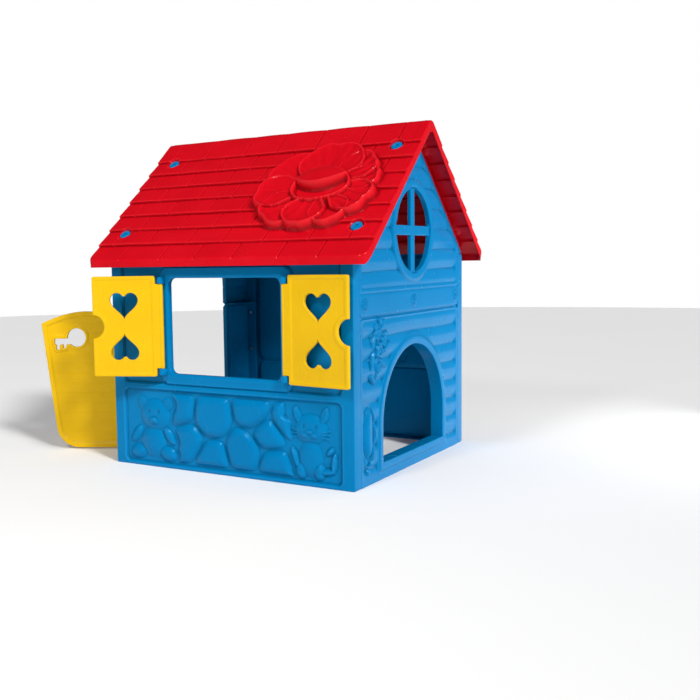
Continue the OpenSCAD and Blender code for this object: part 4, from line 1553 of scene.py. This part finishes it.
@dataclass
class Door(Leaf):
    """The half door: a leaning crown, round lower corners, a key-shaped hole and planks.

    Attributes:
        tall: height of its crown's foot over the ground.
        hump, lift: height of the crown, and how much higher its free end is than its hinged end.
        corner: radius of its lower corners.
        taper: how much narrower it is at the foot.
        plank, crease_depth: height of a plank and depth of the creases between planks.
    """

    thick: float = 14
    core: float = 5
    start: float = 19
    wide: float = 391
    tall: float = 430
    hump: float = 46
    lift: float = 7
    corner: float = 80
    taper: float = 40
    foot: float = 6
    rim: float = 16
    plank: float = 34
    crease_depth: float = 1.5
    step: float = field(default=3.0, kw_only=True)

    def outline(self, u: Array, v: Array) -> Array:
        """Signed distance to the leaf: a tapered panel, round lower corners, a leaning sine arch and ears."""
        r = self.corner
        arc = np.radians(np.linspace(0, 90, 13))
        left = np.column_stack([self.start + r - r * np.sin(arc), self.foot + r - r * np.cos(arc)])
        right = np.column_stack([self.wide - self.taper - r + r * np.cos(arc - math.pi / 2),
                                 self.foot + r + r * np.sin(arc - math.pi / 2)])
        t = np.linspace(1, 0, 21)
        arch = self.lift * t + (self.hump - self.lift / 2) * np.sin(math.pi * t ** 1.23)
        crown = np.column_stack([self.start + (self.wide - self.start) * t, self.tall + arch])
        panel = outline_field(u, v, np.concatenate([right, crown, left[::-1]]))
        ears = np.minimum(span_field(u, v, 2, 40, 90.5, 120, 1), span_field(u, v, 2, 40, 400.5, 430, 1))
        return np.minimum(panel, ears)

    def key(self, u: Array, v: Array, grow: float = 0.0) -> Array:
        """Signed distance to the key-shaped hole."""
        cu, cv = self.wide - 121, self.tall - 43
        spans = ((0, 78, 23, 3, 2), (38, 48, 36, 13, 1), (60, 72, 41, 13, 1))
        parts = [span_field(u, v, cu + a, cu + b, cv - c, cv - d, r) for a, b, c, d, r in spans]
        return np.minimum.reduce(parts + [disc_field(u, v, (cu, cv), 32)]) - grow

    def inside(self, u: Array, v: Array) -> Array:
        """Distance from the outline and the key hole."""
        return np.minimum(-self.outline(u, v), self.key(u, v))

    def outer(self, u: Array, v: Array) -> Array:
        """Height of a face: the rolled rim, level planks between creases and a bead round the key."""
        field_edge = np.maximum(self.outline(u, v) + self.rim, 8 - self.key(u, v))
        share = ((v - 30) / self.plank) % 1.0
        creases = self.crease_depth * (1 - np.sin(math.pi * share) ** 0.5)
        height = self.thick / 2 - (self.thick - self.core) / 2 * rise(field_edge, 5)
        return height - creases * rise(field_edge + 3, 4)

    def lines(self) -> tuple[Array, Array]:
        """The grid, with lines along the straight edges."""
        return (grid_lines(0, self.wide, self.step, [2, 4.4, 19, 21.4, 33, 37]),
                grid_lines(0, self.tall + self.hump, self.step,
                           [6, 8.4, 21, 24, 92.9, 117.6, 402.9, 427.6]))

    def extras(self) -> list[Surface]:
        """A knuckle with a pin at each of the two hinges."""
        return [part for z in HOUSE.lugs
                for part in (pin_stack(8, z + 20.5, z + 50), pin_stack(4, z + 4.5, z + 22, 0.8))]


# ---------------------------------------------------------------- fasteners

def socket_head(radius: float, tall: float, socket: float, place: Local) -> Surface:
    """A flat round head with a softened edge and a six-sided socket, as one closed solid.

    The socket is cut by rings of six corners drawn out to the sides of the head.

    Args:
        radius: radius of the head.
        tall: height of its top.
        socket: radius over the socket's corners.
        place: turns local points into points of the model.

    Returns:
        The head.
    """
    sides, low = 48, 0.05
    angle = np.arange(sides) * 2 * math.pi / sides
    hexagon = socket * math.cos(math.pi / 6) / np.cos((angle % (math.pi / 3)) - math.pi / 6)
    soft, deep = min(1.2, 0.4 * (tall - low)), 0.55 * (tall - low)
    rings = [(radius - 0.4 * soft, low), (radius, low + 0.4 * soft), (radius, tall - soft),
             (radius - 0.3 * soft, tall - 0.3 * soft), (radius - soft, tall), (hexagon + 0.5, tall),
             (hexagon, tall - 0.5), (hexagon, tall - deep)]
    c, s = np.cos(angle), np.sin(angle)
    points = [np.column_stack([r * c, r * s, np.full(sides, z)]) for r, z in rings]
    return Surface.stacked(np.array(points), place)


def shank(radius: float, length: float, place: Local) -> Surface:
    """A fastener's shank with a cut thread: rings whose radius rises and falls each pitch."""
    low, high, pitch, deep = -length, 0.04, 1.4, 0.28
    turns = max(2, int((high - low) / pitch))
    z = np.linspace(low, high, 4 * turns + 1)
    r = radius - deep * (1 - np.abs(np.sin(np.linspace(0, turns * math.pi, 4 * turns + 1))))
    return lathe(list(zip(r, z)), place, 24)


@dataclass
class Screws(Moulding):
    """Moulded screws with a round, socketed head.

    Attributes:
        head: radius, height and socket radius of the head.
        thread: radius and length of the shank.
    """

    head: ClassVar[tuple[float, float, float]]
    thread: ClassVar[tuple[float, float]]

    def places(self) -> list[Local]:
        """What puts a screw's local points in each of its places."""
        raise NotImplementedError

    def surface(self) -> Surface:
        """A head and a shank at each place."""
        return Surface.joined([part for place in self.places()
                               for part in (socket_head(*self.head, place), shank(*self.thread, place))])


@dataclass
class RoofBolts(Screws):
    """The four moulded bolts that hold a slope of the roof down."""

    head: ClassVar[tuple[float, float, float]] = (17, 6, 5.5)
    thread: ClassVar[tuple[float, float]] = (3.9, 34)

    front: bool
    sink: float = 12

    def places(self) -> list[Local]:
        """The bolts' places, with the local Z axis square to the slope."""
        def at(u: float, v: float) -> Local:
            """Puts local points at one bolt's place."""
            return lambda local: slope_points(self.front, u + local[:, 0],
                                              *HOUSE.on_slope(v + local[:, 1], local[:, 2] - self.sink))
        return [at(*spot) for spot in HOUSE.bolts]


@dataclass
class BandScrews(Screws):
    """The flat-headed moulded screws through a gable's band."""

    head: ClassVar[tuple[float, float, float]] = (9.6, 3, 4.6)
    thread: ClassVar[tuple[float, float]] = (2.9, 19.5)

    face: Face
    spots: tuple[float, ...]

    def places(self) -> list[Local]:
        """The screws' places along the band."""
        return [self.face.facing(u, HOUSE.band_mid) for u in self.spots]


# ---------------------------------------------------------------- studio

@dataclass
class Studio:
    """The floor, the lights and the camera.

    Attributes:
        eye: the camera's place in metres.
        yaw, tilt, roll: its angles in degrees.
        lens, shift: its focal length in millimetres and the shift of its frame.
        horizon, mirrored: strength of the world, and of what glossy surfaces see of it.
        floor_radius, floor_thick: the floor's sizes.
    """

    eye: tuple[float, float, float] = (1.5962, -2.6604, 0.6433)
    yaw: float = 32.14
    tilt: float = -5.24
    roll: float = -1.0
    lens: float = 48.23
    shift: tuple[float, float] = (0.107, -0.007)
    horizon: float = 1.0
    mirrored: float = 0.12
    floor_radius: float = 9000
    floor_thick: float = 40

    def floor(self) -> None:
        """A wide round floor."""
        edge = [(self.floor_radius, -self.floor_thick), (self.floor_radius, 0)]
        slab = lathe(edge, in_place, 96).piece("studio_floor", 30)
        slab.data.materials.append(PaleFloor().make())

    def light(self, name: str, place: Sequence[float], aim: Sequence[float], size: float,
              power: float) -> bpy.types.Object:
        """A square soft light.

        Args:
            name: its name.
            place: where it hangs.
            aim: the point it looks at.
            size: its side.
            power: its power in watts.

        Returns:
            The light's object.
        """
        lamp = bpy.data.lights.new(name, "AREA")
        lamp.shape, lamp.size, lamp.energy = "SQUARE", size, power
        holder = bpy.data.objects.new(name, lamp)
        bpy.context.collection.objects.link(holder)
        holder.location = place
        holder.rotation_euler = (Vector(aim) - Vector(place)).to_track_quat("-Z", "Y").to_euler()
        return holder

    def build(self) -> None:
        """Sets up the floor, a key light from the right, two soft boxes and a bright world."""
        self.floor()
        sun = bpy.data.lights.new("key", "SUN")
        sun.energy, sun.angle = 2.6, math.radians(10)
        holder = bpy.data.objects.new("key", sun)
        bpy.context.collection.objects.link(holder)
        holder.rotation_euler = Vector((0.75, -0.35, 0.56)).to_track_quat("Z", "Y").to_euler()
        self.light("soft_box", (0.2, -3.2, 2.7), (0, -0.4, 0.3), 0.4, 46)
        self.light("low_box", (1.5, 0.9, 0.05), (0.46, 0.2, 0.95), 0.9, 26).visible_glossy = False
        world = bpy.data.worlds.new("studio_world")
        world.use_nodes = True
        nodes, links = world.node_tree.nodes, world.node_tree.links
        where, split, ramp = (nodes.new("ShaderNodeTexCoord"), nodes.new("ShaderNodeSeparateXYZ"),
                              nodes.new("ShaderNodeValToRGB"))
        ramp.color_ramp.elements[0].position, ramp.color_ramp.elements[1].position = 0.3, 0.6
        ramp.color_ramp.elements[0].color = (1, 1, 1, 1)
        ramp.color_ramp.elements[1].color = (0.16, 0.16, 0.16, 1)
        links.new(where.outputs["Generated"], split.inputs["Vector"])
        links.new(split.outputs["Z"], ramp.inputs["Fac"])
        links.new(ramp.outputs["Color"], nodes["Background"].inputs["Color"])
        path, strength = nodes.new("ShaderNodeLightPath"), nodes.new("ShaderNodeMapRange")
        strength.inputs["To Min"].default_value = self.horizon
        strength.inputs["To Max"].default_value = self.mirrored
        links.new(path.outputs["Is Glossy Ray"], strength.inputs["Value"])
        links.new(strength.outputs["Result"], nodes["Background"].inputs["Strength"])
        bpy.context.scene.world = world
        bpy.context.scene.view_settings.view_transform = "Standard"
        self.camera()

    def camera(self) -> None:
        """Places the camera from its yaw, tilt and roll."""
        lens = bpy.data.cameras.new("view")
        lens.lens, lens.sensor_width = self.lens, 36
        lens.shift_x, lens.shift_y = self.shift
        camera = bpy.data.objects.new("view", lens)
        bpy.context.collection.objects.link(camera)
        yaw, tilt, roll = (math.radians(a) for a in (self.yaw, self.tilt, self.roll))
        ahead = np.array([-math.sin(yaw) * math.cos(tilt), math.cos(yaw) * math.cos(tilt), math.sin(tilt)])
        right = np.array([math.cos(yaw), math.sin(yaw), 0])
        up = np.cross(right, ahead)
        turned_right = math.cos(roll) * right + math.sin(roll) * up
        turned_up = np.cross(turned_right, ahead)
        frame_matrix = Matrix([list(row) for row in np.array([turned_right, turned_up, -ahead]).T]).to_4x4()
        frame_matrix.translation = self.eye
        camera.matrix_world = frame_matrix
        bpy.context.scene.camera = camera


# ---------------------------------------------------------------- assembly

def main() -> None:
    """Builds the studio and every piece of the house, and dresses the nodes that stay."""
    Studio().build()
    palette = Palette()
    outer_screws = (-HOUSE.band_screws, HOUSE.band_screws)
    assemblies = [
        LongWall("front_wall", Face.FRONT), LongWall("back_wall", Face.BACK, step=5.0),
        LowerGable("right_gable_lower", Face.RIGHT, lip=HOUSE.rim),
        LowerGable("left_gable_lower", Face.LEFT, step=5.0, middle=-19.5, radius=185.5, top=735,
                   relief=False),
        UpperGable("right_gable_upper", Face.RIGHT),
        UpperGable("left_gable_upper", Face.LEFT, step=5.0, middle=-19.5, doorway=185.5, screws=outer_screws),
        RoofHalf("roof_front", True, flower=Flower()), RoofHalf("roof_rear", False),
        Shutter("front_left_shutter", (-220, -420), -157, body="front_left_shutter"),
        Shutter("front_right_shutter", (220, -420), 174, flipped=True, body="front_right_shutter"),
        Shutter("back_left_shutter", (-220, 420), 180, flipped=True, body="back_left_shutter"),
        Shutter("back_right_shutter", (220, 420), 180, body="back_right_shutter"),
        Door("door", (-447, -180), 207.5, body="half_door"),
        RoofBolts("roof_bolts_front", True), RoofBolts("roof_bolts_rear", False),
        BandScrews("band_screws_right", Face.RIGHT, UpperGable.screws),
        BandScrews("band_screws_left", Face.LEFT, outer_screws),
    ]
    for assembly in assemblies:
        piece = assembly.build(palette)
        LOG.info("%s: %d faces", piece.name, len(piece.data.polygons))
    for name, node in frame["nodes"].items():
        if name.startswith(("ridge_", "corner_")):
            palette.dress(node, Finish.STEEL)
            LOG.info("%s: plated", name)


if __name__ == "__main__":
    main()
